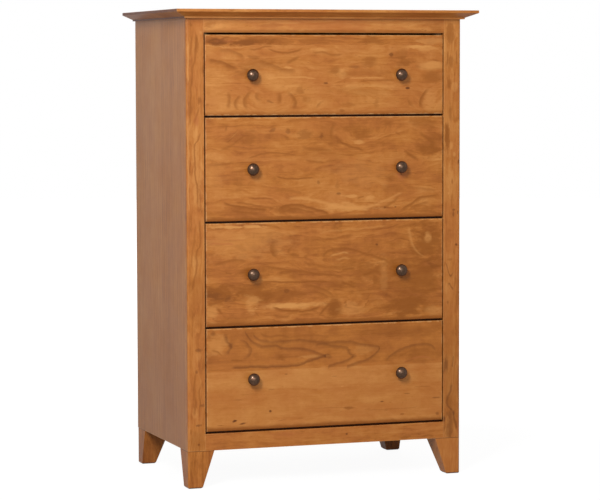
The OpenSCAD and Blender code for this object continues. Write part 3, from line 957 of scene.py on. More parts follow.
@dataclass(frozen=True)
class Metal:
    """A metal with its patina.

    Attributes:
        name: What the material is called.
        body: Its colour.
        worn: Colour of the places that hands have polished.
        rough: Roughness of the patina.
        grainy: Size of the patina's spots, in mm.
        coat: How much clear lacquer lies over it.
        coat_rough: Roughness of the lacquer.
        pits: How deep the pits of the patina are, in mm.
    """

    name: str
    body: Colour
    worn: Colour
    rough: float
    grainy: float
    coat: float = 0.0
    coat_rough: float = 0.14
    pits: float = 0.05

    def material(self) -> bpy.types.Material:
        """Makes the metal's material.

        Returns:
            The new material.
        """
        made = bpy.data.materials.new(self.name)
        made.use_nodes = True
        sheet = Sheet(made.node_tree)
        spot = sheet.coordinate("Object")
        mottle = sheet.noise(spot, scale=1 / (self.grainy * MM), detail=4.0, rough=0.65)
        cloud = sheet.noise(spot, scale=0.3 / (self.grainy * MM), detail=2.0)
        share = sheet.ramp(sheet.total(mottle, sheet.scaled(cloud, 0.6)), 0.72, 1.0)
        handling = sheet.place(HANDLING, Vector=spot)
        rough = sheet.total(self.rough, sheet.scaled(mottle, 0.12),
                            sheet.scaled(handling["Dust"], 0.08))
        sheet.surface({"Base Color": sheet.tint(share, self.body, self.worn), "Metallic": 1.0,
                       "Roughness": rough, "Normal": sheet.bump(mottle, self.pits * MM, 0.3),
                       "Coat Weight": self.coat, "Coat Roughness": self.coat_rough})
        return made


BRONZE = Metal("dark_bronze", paint("543e2d"), paint("6e4f3c"), 0.28, 4.0, coat=0.35)
ZINC = Metal("zinc_plated_steel", paint("a9a9a4"), paint("c4c3bb"), 0.35, 2.0)


def dress(node: str, material: bpy.types.Material) -> None:
    """Gives a CAD node its material.

    Args:
        node: The node's name.
        material: What it is made of.
    """
    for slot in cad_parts[node].material_slots:
        slot.material = material
    log.info("%s: %s", node, material.name)


def dress_board(node: str, timber: Timber, grain: Grain, figure: Figure) -> None:
    """Gives a board a material of its own."""
    dress(node, timber.material(node, grain, figure))


def glued(joints: Sequence[float], shades: Sequence[float], seeds: Sequence[float], ring: float,
          line: float, swirl: float) -> tuple[Strip, ...]:
    """Makes the strips of a wide board.

    Args:
        joints: Where every strip but the last one ends across the board, in mm.
        shades: How much paler than the timber's mean each strip is.
        seeds: What sets each strip apart.
        ring: Mean width of a ring, in mm.
        line: Strength of the dark ring lines.
        swirl: How many rings the slow bends shift.

    Returns:
        The strips, in order across the board.
    """
    return tuple(Strip(end, shade, ring, line, swirl, seed)
                 for end, shade, seed in zip((*joints, FAR), shades, seeds))


PALE, DEEP, RUDDY, KNOT = Tone.PALE, Tone.DEEP, Tone.RUDDY, Tone.KNOT
FRONT_FIGURES = {
    1: Figure(
        strips=(
            Strip(1031, 0.09, 24, 0.25, 1.4, 3), Strip(1130, 0.05, 22, 0.3, 1.6, 11),
            Strip(FAR, -0.02, 12, 0.4, 2, 23)),
        swellings=(
            Swelling((-160, 992), (62, 30), 1.5), Swelling((285, 985), (38, 60), 1.5)),
        stains=(
            # Painted shade: a darker band along the front's lower edge, above the gap.
            Stain(DEEP, (0, 951), (WHOLE, 11), 0.6, ragged=0.3),
            Stain(DEEP, (-285, 1138), (50, 13), 1.0), Stain(KNOT, (-282, 1138), (38, 9), 0.5),
            Stain(RUDDY, (-262, 1140), (30, 7), 0.35), Stain(DEEP, (-200, 1137), (80, 12), 0.95),
            Stain(KNOT, (-212, 1135), (42, 7), 0.25), Stain(DEEP, (-40, 1140), (60, 9), 0.45),
            Stain(DEEP, (-124, 1138), (50, 10), 0.45), Stain(DEEP, (128, 1143), (48, 11), 0.65),
            Stain(DEEP, (-195, 1099), (19, 5.5), 0.5), Stain(PALE, (-104, 1072), (14, 5.5), 0.7),
            Stain(PALE, (-20, 1118), (31, 6.6), 0.5), Stain(DEEP, (-225, 1058), (24, 15.4), 0.5),
            Stain(DEEP, (-190, 1078), (72, 17.6), 0.3), Stain(KNOT, (78, 1074), (15, 4), 0.35),
            Stain(DEEP, (26, 1066), (19, 11), 0.5), Stain(PALE, (44, 1060), (12, 13.2), 0.6),
            Stain(DEEP, (118, 1089), (22, 15.4), 0.5), Stain(KNOT, (181, 1106), (6, 6), 0.6),
            Stain(DEEP, (209, 1103), (22, 19.8), 0.4), Stain(DEEP, (216, 1086), (31, 13.2), 0.7),
            Stain(PALE, (256, 1126), (41, 5), 0.9), Stain(PALE, (278, 1121), (48, 8), 0.5),
            Stain(PALE, (285, 1140), (46, 12), 0.5),
            Stain(PALE, (290, 1078), (48, 14.3), 0.7, ragged=0.4),
            Stain(DEEP, (296, 1048), (34, 19.8), 0.6, ragged=0.3),
            Stain(DEEP, (100, 1058), (84, 11), 0.3), Stain(KNOT, (0, 1032), (7, 3), 0.6),
            Stain(PALE, (110, 1024), (108, 5.5), 0.4), Stain(KNOT, (226, 1019), (6, 3.5), 0.9),
            Stain(DEEP, (140, 980), (14, 14.3), 0.4), Stain(DEEP, (66, 977), (29, 6.6), 0.35),
            Stain(DEEP, (44, 962), (8, 4), 0.6), Stain(DEEP, (-70, 1016), (14, 13.2), 0.4),
            Stain(DEEP, (-52, 990), (12, 8.8), 0.3),
            Stain(KNOT, (-150, 985), (11, 3.5), 0.35, -20),
            Stain(PALE, (286, 990), (24, 28.6), 0.4), Stain(PALE, (-294, 985), (36, 33), 0.3),
            Stain(DEEP, (100, 1010), (84, 13.2), 0.2)),
        veins=(
            Vein(((-212, 1124), (-190, 1118), (-168, 1123), (-140, 1128)), 0.65, 4, 4),
            Vein(((-160, 1121), (-130, 1112), (-105, 1110), (-80, 1115), (-62, 1123)), 0.8, 4, 4),
            Vein(((-320, 1093), (-288, 1090), (-262, 1080), (-236, 1070)), 0.8, 4, 14),
            Vein(((-292, 1118), (-255, 1115), (-232, 1107), (-216, 1093)), 0.55, 4, 12),
            Vein(((-185, 1094), (-150, 1081), (-120, 1070), (-80, 1067)), 0.55, 4, 16),
            Vein(((-113, 1084), (-90, 1092), (-68, 1104)), 0.65, 8, 8),
            Vein(((-40, 1108), (-20, 1112), (20, 1106), (50, 1109)), 0.55, 4, 6),
            Vein(((-165, 1042), (-120, 1047), (-50, 1046), (-22, 1036)), 0.6, 4.5, 3, PALE),
            Vein(((60, 1045), (110, 1046), (165, 1045)), 0.6, 3, 3, PALE),
            Vein(((90, 1036), (150, 1039), (195, 1038)), 0.55, 4, 4),
            Vein(((-168, 982), (-184, 992), (-188, 1003),
                  (-178, 1015)), 0.55, 12, 6, upright=True),
            Vein(((-130, 976), (-124, 994), (-131, 1013)), 0.6, 8, 12, upright=True),
            Vein(((-94, 962), (-82, 982), (-91, 999), (-106, 1014)), 0.7, 6, 12, upright=True),
            Vein(((-210, 963), (-222, 985), (-214, 1002),
                  (-199, 1018)), 0.65, 12, 6, upright=True),
            Vein(((-234, 962), (-246, 980), (-238, 998),
                  (-228, 1008)), 0.65, 10, 6, upright=True),
            Vein(((-264, 964), (-262, 990), (-266, 1015)), 0.6, 8, 8, upright=True),
            Vein(((-26, 964), (-15, 982), (8, 990)), 0.55, 8, 6, upright=True),
            Vein(((262, 964), (261, 985), (270, 1003), (288, 1021)), 0.75, 14, 4, upright=True),
            Vein(((246, 964), (230, 980), (224, 997)), 0.55, 12, 4, upright=True)),
        bends=(150, 90, 45), edge=(4, 0.75), gap_shade=0.5),
    2: Figure(
        strips=(Strip(FAR, -0.03, 24, 0.3, 1.6, 31),),
        swellings=(
            Swelling((85, 896), (58, 42), 1.5), Swelling((-50, 705), (85, 32), 1.5)),
        stains=(
            # Painted shade: a darker band along the front's lower edge, above the gap.
            Stain(DEEP, (0, 682), (WHOLE, 12), 1.0, ragged=0.3),
            Stain(DEEP, (-214, 897), (29, 19.8), 0.5), Stain(KNOT, (-145, 913), (10, 5), 0.4, 20),
            Stain(KNOT, (-104, 910), (6, 11), 0.35), Stain(DEEP, (-56, 899), (22, 14.3), 0.6),
            Stain(KNOT, (-12, 898), (7, 9), 0.45), Stain(KNOT, (-21, 779), (6, 9), 0.4),
            Stain(DEEP, (-238, 777), (19, 19.8), 0.4), Stain(DEEP, (-94, 708), (53, 13.2), 0.6),
            Stain(DEEP, (100, 898), (36, 16.5), 0.6), Stain(PALE, (90, 880), (16, 5.5), 0.6),
            Stain(DEEP, (60, 915), (41, 15.4), 0.45), Stain(DEEP, (170, 927), (22, 9.9), 0.6),
            Stain(DEEP, (282, 860), (38, 24.2), 0.75, -20),
            Stain(DEEP, (275, 930), (41, 19.8), 0.45), Stain(DEEP, (305, 880), (24, 33), 0.4),
            Stain(DEEP, (178, 788), (14, 17.6), 0.4), Stain(DEEP, (186, 756), (36, 13.2), 0.4),
            Stain(KNOT, (35, 748), (6, 3), 0.5), Stain(DEEP, (31, 769), (7, 11), 0.4),
            Stain(PALE, (66, 740), (24, 4.4), 0.7), Stain(PALE, (123, 736), (17, 6.6), 0.6),
            Stain(PALE, (70, 712), (86, 12), 0.65), Stain(KNOT, (163, 710), (3.5, 3), 0.7),
            Stain(KNOT, (192, 710), (3.5, 3), 0.7), Stain(DEEP, (275, 704), (31, 13.2), 0.5),
            Stain(PALE, (-300, 800), (29, 66), 0.2), Stain(PALE, (90, 800), (96, 44), 0.2),
            Stain(DEEP, (10, 905), (48, 33), 0.3), Stain(RUDDY, (210, 793), (16, 12), 0.7),
            Stain(DEEP, (0, 850), (80, 24), 0.2), Stain(DEEP, (-250, 705), (72, 13.2), 0.3)),
        veins=(
            Vein(((-273, 880), (-255, 893), (-245, 906), (-236, 918)), 0.8, 4, 4),
            Vein(((-254, 877), (-232, 890), (-214, 904)), 0.65, 6, 4),
            Vein(((-290, 862), (-262, 872), (-240, 884)), 0.45, 6, 6),
            Vein(((-273, 906), (-270, 919), (-269, 931)), 0.7, 6, 4, upright=True),
            Vein(((-262, 890), (-248, 902), (-236, 914)), 0.45, 3, 3, PALE),
            Vein(((-214, 842), (-189, 848), (-156, 854), (-96, 851), (-78, 842)), 0.65, 3, 4),
            Vein(((-60, 836), (-30, 831), (0, 828)), 0.55, 4, 6),
            Vein(((-70, 872), (-30, 862), (20, 860)), 0.45, 6, 10),
            Vein(((-320, 826), (-280, 828), (-245, 836)), 0.35, 4, 6),
            Vein(((-141, 800), (-128, 792), (-96, 788), (-45, 790), (-30, 790)), 0.9, 3, 4),
            Vein(((-214, 741), (-180, 739), (-140, 739)), 0.65, 3, 3),
            Vein(((-145, 757), (-110, 759), (-80, 754), (-60, 745)), 0.45, 4, 6),
            Vein(((-282, 732), (-248, 722), (-210, 716), (-156, 709)), 0.9, 4, 7),
            Vein(((-250, 731), (-210, 726), (-170, 717), (-135, 713)), 0.65, 3, 6),
            Vein(((-262, 712), (-230, 706), (-178, 700)), 0.7, 4, 6),
            Vein(((-133, 704), (-115, 717), (-85, 721), (-45, 713), (-9, 703),
                  (14, 691)), 0.9, 4, 10),
            Vein(((-112, 700), (-85, 710), (-50, 704), (-25, 695)), 0.7, 4, 8),
            Vein(((-106, 738), (-60, 735), (-20, 728), (20, 717), (72, 709),
                  (120, 706)), 0.6, 8, 7, PALE),
            Vein(((30, 888), (58, 873), (85, 864), (108, 857)), 0.8, 6, 6),
            Vein(((24, 884), (13, 900), (16, 918), (30, 934)), 0.55, 10, 6, upright=True),
            Vein(((128, 880), (150, 876), (175, 880)), 0.45, 6, 6),
            Vein(((190, 905), (206, 898)), 0.55, 4, 4, fade=(4, 4)),
            Vein(((214, 857), (238, 842), (260, 830)), 0.8, 8, 8),
            Vein(((255, 905), (280, 888), (310, 872)), 0.65, 10, 10),
            Vein(((85, 733), (98, 737), (106, 739)), 0.65, 3, 3, fade=(4, 4)),
            Vein(((150, 706), (180, 719), (207, 740)), 0.55, 10, 6),
            Vein(((128, 712), (170, 731), (216, 747)), 0.45, 6, 6, PALE),
            Vein(((203, 700), (235, 717), (262, 733), (312, 738)), 0.75, 4, 10),
            Vein(((225, 696), (250, 714), (290, 722)), 0.55, 4, 10),
            Vein(((215, 762), (260, 758), (310, 752)), 0.4, 4, 8)),
        bends=(180, 90, 50), edge=(4, 0.75), gap_shade=0.5, spared=20),
    3: Figure(
        strips=(
            Strip(469.5, -0.04, 14, 0.5, 3, 41), Strip(FAR, -0.06, 24, 0.35, 1.7, 47)),
        swellings=(
            Swelling((50, 572), (95, 36), 1.5), Swelling((285, 630), (52, 45), 1.5)),
        stains=(
            # Painted shade: a darker band along the front's lower edge, above the gap.
            Stain(DEEP, (0, 413), (WHOLE, 12), 1.0, ragged=0.3),
            Stain(PALE, (-225, 630), (144, 48.4), 0.3), Stain(PALE, (-250, 667), (102, 5), 0.85),
            Stain(DEEP, (-86, 592), (16, 5.5), 0.6, -15), Stain(DEEP, (-57, 587), (8, 7), 0.5),
            Stain(DEEP, (-142, 603), (9, 18), 0.35), Stain(DEEP, (-217, 545), (17, 19.8), 0.5),
            Stain(DEEP, (-114, 546), (26, 6.6), 0.6), Stain(DEEP, (-290, 497), (58, 26), 0.85),
            Stain(KNOT, (-268, 482), (14, 12), 0.4), Stain(KNOT, (-303, 493), (26, 14), 0.4),
            Stain(DEEP, (-195, 498), (58, 26.4), 0.75), Stain(DEEP, (-120, 490), (67, 22), 0.6),
            Stain(KNOT, (-108, 501), (8, 6), 0.35), Stain(PALE, (-204, 470), (26, 26.4), 0.55),
            Stain(PALE, (-308, 448), (19, 26.4), 0.45),
            Stain(PALE, (-96, 461), (103, 9.9), 0.95, ragged=0.5),
            Stain(DEEP, (24, 450), (24, 33), 0.95, ragged=0.5),
            Stain(PALE, (72, 447), (38, 24.2), 0.35), Stain(DEEP, (230, 450), (65, 33), 0.85),
            Stain(DEEP, (262, 522), (74, 48.4), 0.6), Stain(DEEP, (110, 540), (60, 37.4), 0.45),
            Stain(DEEP, (133, 520), (9, 16), 0.5), Stain(PALE, (160, 545), (12, 57.2), 0.35),
            Stain(DEEP, (288, 612), (53, 68.2), 0.8),
            Stain(PALE, (284, 630), (12, 15), 0.65, ragged=0.7),
            Stain(PALE, (303, 436), (31, 15.4), 0.45), Stain(KNOT, (141, 613), (5, 3.5), 0.7),
            Stain(DEEP, (188, 589), (7, 4), 0.6), Stain(DEEP, (60, 562), (48, 8.8), 0.35),
            Stain(KNOT, (290, 560), (26, 8), 0.25, -30),
            Stain(DEEP, (-250, 430), (72, 13.2), 0.35), Stain(DEEP, (40, 515), (43, 17.6), 0.4),
            Stain(DEEP, (235, 520), (170, 110), 0.35)),
        veins=(
            Vein(((-118, 580), (-140, 588), (-149, 600), (-150, 612),
                  (-140, 629)), 0.65, 14, 6, upright=True),
            Vein(((-80, 590), (-92, 593), (-103, 598), (-100, 607),
                  (-85, 619)), 0.65, 10, 4, upright=True),
            Vein(((-14, 578), (-5, 592), (10, 602), (39, 606), (71, 602), (104, 591),
                  (152, 577), (178, 565)), 0.7, 4, 8),
            Vein(((6, 580), (25, 591), (48, 594), (68, 587)), 0.55, 4.5, 4.5, PALE),
            Vein(((22, 572), (45, 579), (70, 576)), 0.45, 4.5, 4.5, PALE),
            Vein(((-10, 632), (30, 634), (70, 641), (78, 646)), 0.55, 4, 8),
            Vein(((-20, 646), (40, 652), (110, 656), (170, 662)), 0.3, 4.5, 4.5, PALE),
            Vein(((190, 655), (230, 661), (280, 668)), 0.55, 6, 10),
            Vein(((-308, 566), (-281, 578), (-235, 582), (-214, 574)), 0.65, 4, 8),
            Vein(((-322, 633), (-270, 634), (-216, 632)), 0.4, 2, 2, RUDDY),
            Vein(((-322, 624), (-280, 624), (-245, 622)), 0.6, 4.5, 4.5, RUDDY),
            Vein(((-276, 553), (-265, 549), (-254, 547)), 0.7, 4, 4, fade=(5, 5)),
            Vein(((-178, 525), (-130, 524), (-80, 521), (-30, 522), (12, 518)), 0.9, 3, 5),
            Vein(((-168, 563), (-130, 558), (-97, 551), (-50, 546), (0, 540),
                  (50, 530)), 0.65, 4, 8),
            Vein(((-60, 570), (-20, 562), (20, 556), (80, 554)), 0.45, 4, 8),
            Vein(((-322, 512), (-300, 508), (-282, 502), (-271, 492)), 0.9, 6, 8, fade=(5, 2)),
            Vein(((-322, 472), (-300, 474), (-282, 480), (-271, 492)), 0.8, 8, 6, fade=(5, 2)),
            Vein(((-60, 514), (-20, 506), (8, 493), (25, 476)), 0.65, 4, 10),
            Vein(((-45, 501), (-12, 491), (12, 476)), 0.55, 4, 10),
            Vein(((-150, 459), (-113, 451), (-70, 447), (-40, 450), (-14, 462)), 0.9, 3, 8),
            Vein(((-303, 466), (-290, 453), (-276, 440)), 0.8, 8, 6),
            Vein(((-200, 452), (-188, 440), (-178, 428)), 0.65, 8, 4),
            Vein(((-150, 446), (-136, 436), (-110, 434), (-95, 441)), 0.65, 6, 6),
            Vein(((-80, 430), (-55, 436), (-30, 434)), 0.55, 6, 6),
            Vein(((-25, 424), (-14, 440), (0, 454), (18, 466)), 0.8, 8, 6),
            Vein(((160, 426), (185, 450), (215, 466), (245, 480)), 0.65, 6, 12),
            Vein(((36, 520), (56, 513), (78, 505)), 0.8, 6, 6),
            Vein(((41, 549), (60, 551), (80, 555)), 0.65, 4, 6, fade=(6, 6)),
            Vein(((100, 535), (112, 538), (127, 542)), 0.7, 4, 8, fade=(6, 6)),
            Vein(((228, 492), (260, 488), (316, 498)), 0.65, 6, 10),
            Vein(((286, 572), (262, 584), (243, 606), (233, 636),
                  (230, 662)), 0.35, 6, 8, PALE, upright=True),
            Vein(((269, 643), (271, 655), (284, 666)), 0.7, 6, 6, upright=True)),
        bends=(150, 90, 45), edge=(4, 0.75), gap_shade=0.5, spared=20),
    4: Figure(
        strips=(
            Strip(297, 0.09, 40, 0.1, 0.8, 53), Strip(FAR, -0.09, 60, 0.15, 0.7, 59)),
        stains=(
            # Painted shade: a darker band along the front's lower edge, above the gap.
            Stain(DEEP, (0, 144), (WHOLE, 12), 1.0, ragged=0.3),
            Stain(KNOT, (-110.5, 284), (6, 3), 0.6), Stain(KNOT, (22, 273), (14, 1.5), 0.6),
            Stain(KNOT, (-251, 168.5), (8, 4.5), 0.95, 20),
            Stain(KNOT, (-227, 162), (12, 3.5), 0.8, 8),
            Stain(KNOT, (-154, 190), (3.5, 3.5), 0.85), Stain(KNOT, (155, 201), (9, 2.5), 0.75),
            Stain(DEEP, (62, 188), (16, 4.4), 0.7), Stain(KNOT, (223, 218.5), (10, 2), 0.5),
            Stain(KNOT, (308, 204.5), (13, 2), 0.5), Stain(DEEP, (166, 178), (8, 2.5), 0.6),
            Stain(DEEP, (211, 165), (6, 2.5), 0.7), Stain(KNOT, (311, 161), (6, 5), 0.5),
            Stain(PALE, (43, 246), (7, 3), 0.5), Stain(DEEP, (-240, 223), (17, 2.2), 0.4),
            Stain(KNOT, (-150, 246), (9, 1.5), 0.3), Stain(PALE, (-60, 270), (264, 26.4), 0.25),
            Stain(DEEP, (-124, 328), (20, 9.9), 0.8), Stain(KNOT, (1, 326), (12, 9), 0.4),
            Stain(KNOT, (74, 325), (9, 6), 0.3), Stain(KNOT, (-260, 361), (9, 12), 0.35),
            Stain(PALE, (-34, 327), (36, 5.5), 0.4), Stain(PALE, (-300, 366), (36, 28.6), 0.4),
            Stain(KNOT, (-307, 397), (7, 7), 0.35), Stain(DEEP, (200, 388), (156, 17.6), 0.4),
            Stain(PALE, (104, 340), (43, 13.2), 0.25), Stain(DEEP, (262, 318), (60, 19.8), 0.35)),
        veins=(
            Vein(((-223, 404), (-213, 386), (-195, 368), (-178, 361), (-140, 359), (-113, 351),
                  (-60, 348), (-38, 341), (-19, 333), (0, 327)), 0.45, 6, 10, KNOT, fade=(4, 2)),
            Vein(((-262, 307), (-216, 306), (-113, 305), (-73, 307), (-54, 313), (-30, 320),
                  (0, 326)), 0.55, 9, 5, KNOT, fade=(14, 2)),
            Vein(((-201, 403), (-189, 381), (-168, 372), (-127, 370), (-86, 372), (-32, 365),
                  (10, 361), (58, 363), (98, 354), (134, 349),
                  (150, 342)), 0.4, 5, 10, KNOT, fade=(4, 2)),
            Vein(((55, 298), (71, 302), (104, 310), (125, 320), (138, 329),
                  (150, 342)), 0.45, 5, 9, KNOT, fade=(4, 2)),
            Vein(((-34, 354), (-10, 358), (17, 352), (50, 348),
                  (63, 342)), 0.4, 5, 9, KNOT, fade=(10, 3)),
            Vein(((76, 325), (64, 333),
                  (63, 343)), 0.45, 10, 7.5, KNOT, upright=True, fade=(2, 2)),
            Vein(((3, 298), (17, 305), (44, 310), (66, 318),
                  (76, 325)), 0.45, 5, 9, KNOT, fade=(4, 2)),
            Vein(((-181, 403), (-176, 390), (-160, 384), (-127, 385),
                  (-96, 380)), 0.65, 4, 6.5, fade=(4, 14)),
            Vein(((-110, 375), (-60, 383), (0, 378), (60, 380)), 0.35, 4, 5.5),
            Vein(((162, 305), (180, 321), (201, 334), (234, 345), (271, 349), (290, 345),
                  (304, 332), (311, 314)), 0.4, 5, 10, KNOT),
            Vein(((196, 314), (226, 328), (247, 333), (272, 334), (294, 328)), 0.45, 4, 7.5),
            Vein(((212, 300), (234, 307), (250, 313), (274, 314),
                  (296, 306)), 0.5, 3, 4.5, RUDDY),
            Vein(((214, 300), (234, 306), (252, 312)), 0.55, 4, 4),
            Vein(((-267, 335), (-268, 346), (-259, 361), (-271, 376),
                  (-273, 398)), 0.45, 7.5, 10, KNOT, upright=True),
            Vein(((-236, 324), (-222, 327), (-209, 337), (-205, 348), (-211, 362), (-222, 373),
                  (-245, 384)), 0.4, 5, 12.5, KNOT, upright=True),
            Vein(((-316, 355), (-300, 350), (-292, 346), (-278, 333)), 0.65, 4, 5.5),
            Vein(((-262, 324), (-245, 325), (-226, 324)), 0.65, 4, 4, fade=(6, 6)),
            Vein(((90, 387), (147, 387)), 0.8, 1.5, 1.5),
            Vein(((170, 384), (230, 387)), 0.8, 1.5, 1.5),
            Vein(((164, 372), (209, 371)), 0.8, 1.5, 1.5),
            Vein(((90, 378), (140, 378)), 0.55, 1.5, 1.5),
            Vein(((-322, 303), (-290, 302), (-270, 303)), 0.65, 2, 2),
            Vein(((-302, 161), (-274, 161)), 0.9, 1.5, 1.5),
            Vein(((-136, 165), (-106, 165.5)), 0.7, 1.5, 1.5),
            Vein(((-84, 166), (-55, 167)), 0.7, 1.5, 1.5),
            Vein(((-30, 190), (30, 192), (70, 187)), 0.35, 1.5, 2.5),
            Vein(((100, 182), (180, 180), (260, 184)), 0.35, 1.5, 2.5),
            Vein(((-240, 236), (-180, 238)), 0.35, 1.5, 2.5),
            Vein(((240, 231), (262, 236), (300, 229)), 0.45, 1.5, 2.5)),
        bends=(230, 90, 60), contrast=0.7, edge=(4, 0.75), gap_shade=0.5, spared=20),
}
STILE_FIGURES = {
    "left": Figure(
        strips=(Strip(FAR, 0, 18, 0.3, 1.8, 91),),
        stains=(
            Stain(DEEP, (1180, 362), (5, 4), 0.6), Stain(DEEP, (1070, 331), (12, 4), 0.5),
            Stain(DEEP, (1135, 347), (30, 6), 0.6), Stain(DEEP, (992, 339), (13, 6), 0.65),
            Stain(PALE, (1160, 337), (7, 5), 0.5), Stain(RUDDY, (940, 350), (16, 8), 0.6),
            Stain(PALE, (905, 352), (20, 8), 0.5), Stain(PALE, (795, 348), (85, 17), 0.5),
            Stain(DEEP, (480, 350), (100, 30), 0.3), Stain(DEEP, (420, 346), (14, 9), 0.35),
            Stain(KNOT, (355, 346), (5, 10), 0.45), Stain(PALE, (338, 347), (14, 8), 0.3),
            Stain(KNOT, (299, 351), (6, 5), 0.5), Stain(DEEP, (322, 333), (16, 3.5), 0.5),
            Stain(DEEP, (265, 337), (12, 6), 0.5), Stain(KNOT, (213, 337), (5, 8), 0.5),
            Stain(PALE, (192, 353), (14, 9), 0.4), Stain(KNOT, (162, 349), (4, 11), 0.6),
            Stain(KNOT, (113, 346), (4, 4.5), 0.8),
            Stain(DEEP, (122, 350), (38, 30), 0.45, ragged=0.5),
            Stain(DEEP, (145, 367), (12, 3), 0.5)),
        veins=(
            Vein(((925, 366), (960, 364), (1010, 363), (1030, 360), (1070, 358), (1090, 352),
                  (1125, 349), (1160, 346)), 0.6, 5, 4),
            Vein(((1095, 365), (1125, 362), (1160, 360)), 0.6, 4, 4),
            # Painted highlight along the rounded outer corner.
            Vein(((1030, 368), (1090, 369), (1140, 368)), 0.55, 4, 3, PALE),
            Vein(((928, 357), (945, 350), (960, 345), (978, 335)), 0.5, 5, 4),
            Vein(((722, 346.5), (760, 347), (790, 350), (820, 353), (850, 354.5), (876, 353),
                  (885, 348), (893, 343), (912, 340)), 0.7, 3.5, 4),
            # Painted highlight along the rounded outer corner.
            Vein(((705, 370), (790, 370), (850, 370), (930, 369)), 0.5, 4, 3, PALE),
            Vein(((650, 366), (680, 365), (708, 366)), 0.55, 3, 4),
            Vein(((505, 361), (528, 358), (545, 354), (560, 350), (600, 350), (611, 348),
                  (620, 342), (650, 340), (692, 341)), 0.65, 4, 5),
            Vein(((560, 363), (610, 360), (630, 357), (650, 355), (680, 349)), 0.45, 4, 4),
            Vein(((210, 336), (222, 343), (240, 345), (268, 342)), 0.55, 5, 3),
            Vein(((183, 364), (195, 358), (215, 356), (250, 360), (285, 356),
                  (302, 352)), 0.5, 4, 5)),
        bends=(170, 90, 32), edge=(3, 0.25)),
    "right": Figure(
        strips=(Strip(FAR, 0.03, 18, 0.3, 1.8, 97),),
        stains=(
            Stain(DEEP, (1160, -345), (34, 12), 0.55), Stain(DEEP, (1085, -347), (18, 8), 0.5),
            Stain(DEEP, (1028, -341), (20, 8), 0.65), Stain(PALE, (1020, -358), (12, 10), 0.4),
            Stain(PALE, (1155, -366), (10, 5), 0.5), Stain(DEEP, (895, -337), (52, 10), 0.9),
            Stain(DEEP, (955, -346), (30, 7), 0.6), Stain(PALE, (866, -349), (13, 5), 0.6),
            Stain(PALE, (845, -358), (8, 5), 0.5), Stain(PALE, (785, -347), (40, 8), 0.45),
            Stain(KNOT, (826, -370), (6, 2.5), 0.6), Stain(DEEP, (773, -352), (10, 3), 0.6),
            Stain(PALE, (743, -342), (5, 3), 0.6), Stain(KNOT, (699, -358), (4, 6), 0.6),
            Stain(KNOT, (688, -356), (8, 2.5), 0.5), Stain(KNOT, (693, -368), (6, 2.5), 0.5),
            Stain(KNOT, (607, -364), (4, 4.5), 0.75), Stain(DEEP, (645, -347), (5, 12), 0.4),
            Stain(DEEP, (568, -345), (3, 10), 0.4), Stain(KNOT, (455, -340), (4, 3), 0.4),
            Stain(PALE, (492, -337), (16, 4), 0.35), Stain(DEEP, (485, -369), (60, 5), 0.5),
            Stain(DEEP, (405, -365), (30, 3), 0.4),
            Stain(DEEP, (250, -350), (230, 50), 0.35, ragged=0.5),
            Stain(KNOT, (288, -335), (23, 7), 0.6), Stain(DEEP, (250, -370), (90, 3), 0.5),
            Stain(DEEP, (193, -346), (26, 10), 0.6), Stain(KNOT, (130, -343), (42, 13), 0.45),
            Stain(KNOT, (146, -330), (8, 3.5), 0.7), Stain(KNOT, (160, -358), (8, 3), 0.5),
            Stain(RUDDY, (120, -371), (34, 4), 0.5)),
        veins=(
            Vein(((1072, -338), (1090, -338), (1118, -339)), 0.7, 4, 4),
            Vein(((1072, -364), (1095, -364), (1120, -364)), 0.45, 4, 4),
            Vein(((695, -351), (725, -351), (746, -349)), 0.45, 4, 3),
            Vein(((575, -357), (590, -357), (602, -359)), 0.45, 3, 3),
            Vein(((545, -356), (531, -353), (526, -348), (535, -343), (551, -338),
                  (563, -332)), 0.55, 4, 8, KNOT, upright=True, fade=(3, 4)),
            Vein(((489, -356), (505, -360), (528, -361)), 0.45, 5, 5),
            Vein(((489, -358), (497, -350), (504, -345),
                  (503, -339)), 0.5, 4, 7, KNOT, upright=True, fade=(3, 4)),
            Vein(((360, -356), (375, -356), (390, -359)), 0.4, 4, 4),
            Vein(((281, -355), (314, -355)), 0.6, 2, 2, KNOT, fade=(4, 4)),
            Vein(((112, -367), (130, -364), (145, -360), (160, -357), (170, -352), (177, -344),
                  (188, -339), (200, -340), (212, -345), (225, -350),
                  (244, -352)), 0.5, 6, 5, KNOT)),
        bends=(170, 90, 32), edge=(3, 0.25)),
}
RAIL_FIGURES = {
    "top": Figure(
        # The top rail is paler: partly its wood, and partly painted light that offsets the shadow
        # under the top.
        strips=(Strip(FAR, 0.1, 22, 0.25, 0.8, 103),),
        stains=(
            Stain(DEEP, (-145, 1180), (36, 5), 0.4), Stain(DEEP, (-312, 1180), (18, 12), 0.35),
            Stain(DEEP, (305, 1180), (34, 14), 0.4), Stain(RUDDY, (0, 1180), (190, 20), 0.35),
            Stain(PALE, (-290, 1176), (20, 6), 0.5), Stain(PALE, (-100, 1186), (30, 4), 0.4),
            Stain(KNOT, (276, 1168), (5, 3), 0.4),
            # Painted shade: a darker band along the rail's lower edge, above the gap.
            Stain(DEEP, (0, 1161), (WHOLE, 9), 0.7, ragged=0.3)),
        edge=(2, 0.2), gap_shade=0.9),
    "bottom": Figure(
        strips=(Strip(FAR, 0, 26, 0.2, 0.8, 103),),
        stains=(
            Stain(KNOT, (56, 120), (4, 3), 0.75), Stain(DEEP, (222, 104), (18, 5), 0.6),
            Stain(DEEP, (278, 105), (18, 5), 0.6), Stain(DEEP, (-66, 133), (8, 2), 0.4),
            Stain(RUDDY, (-130, 128), (50, 8), 0.4)),
        edge=(2, 0.3), gap_shade=0.9),
}


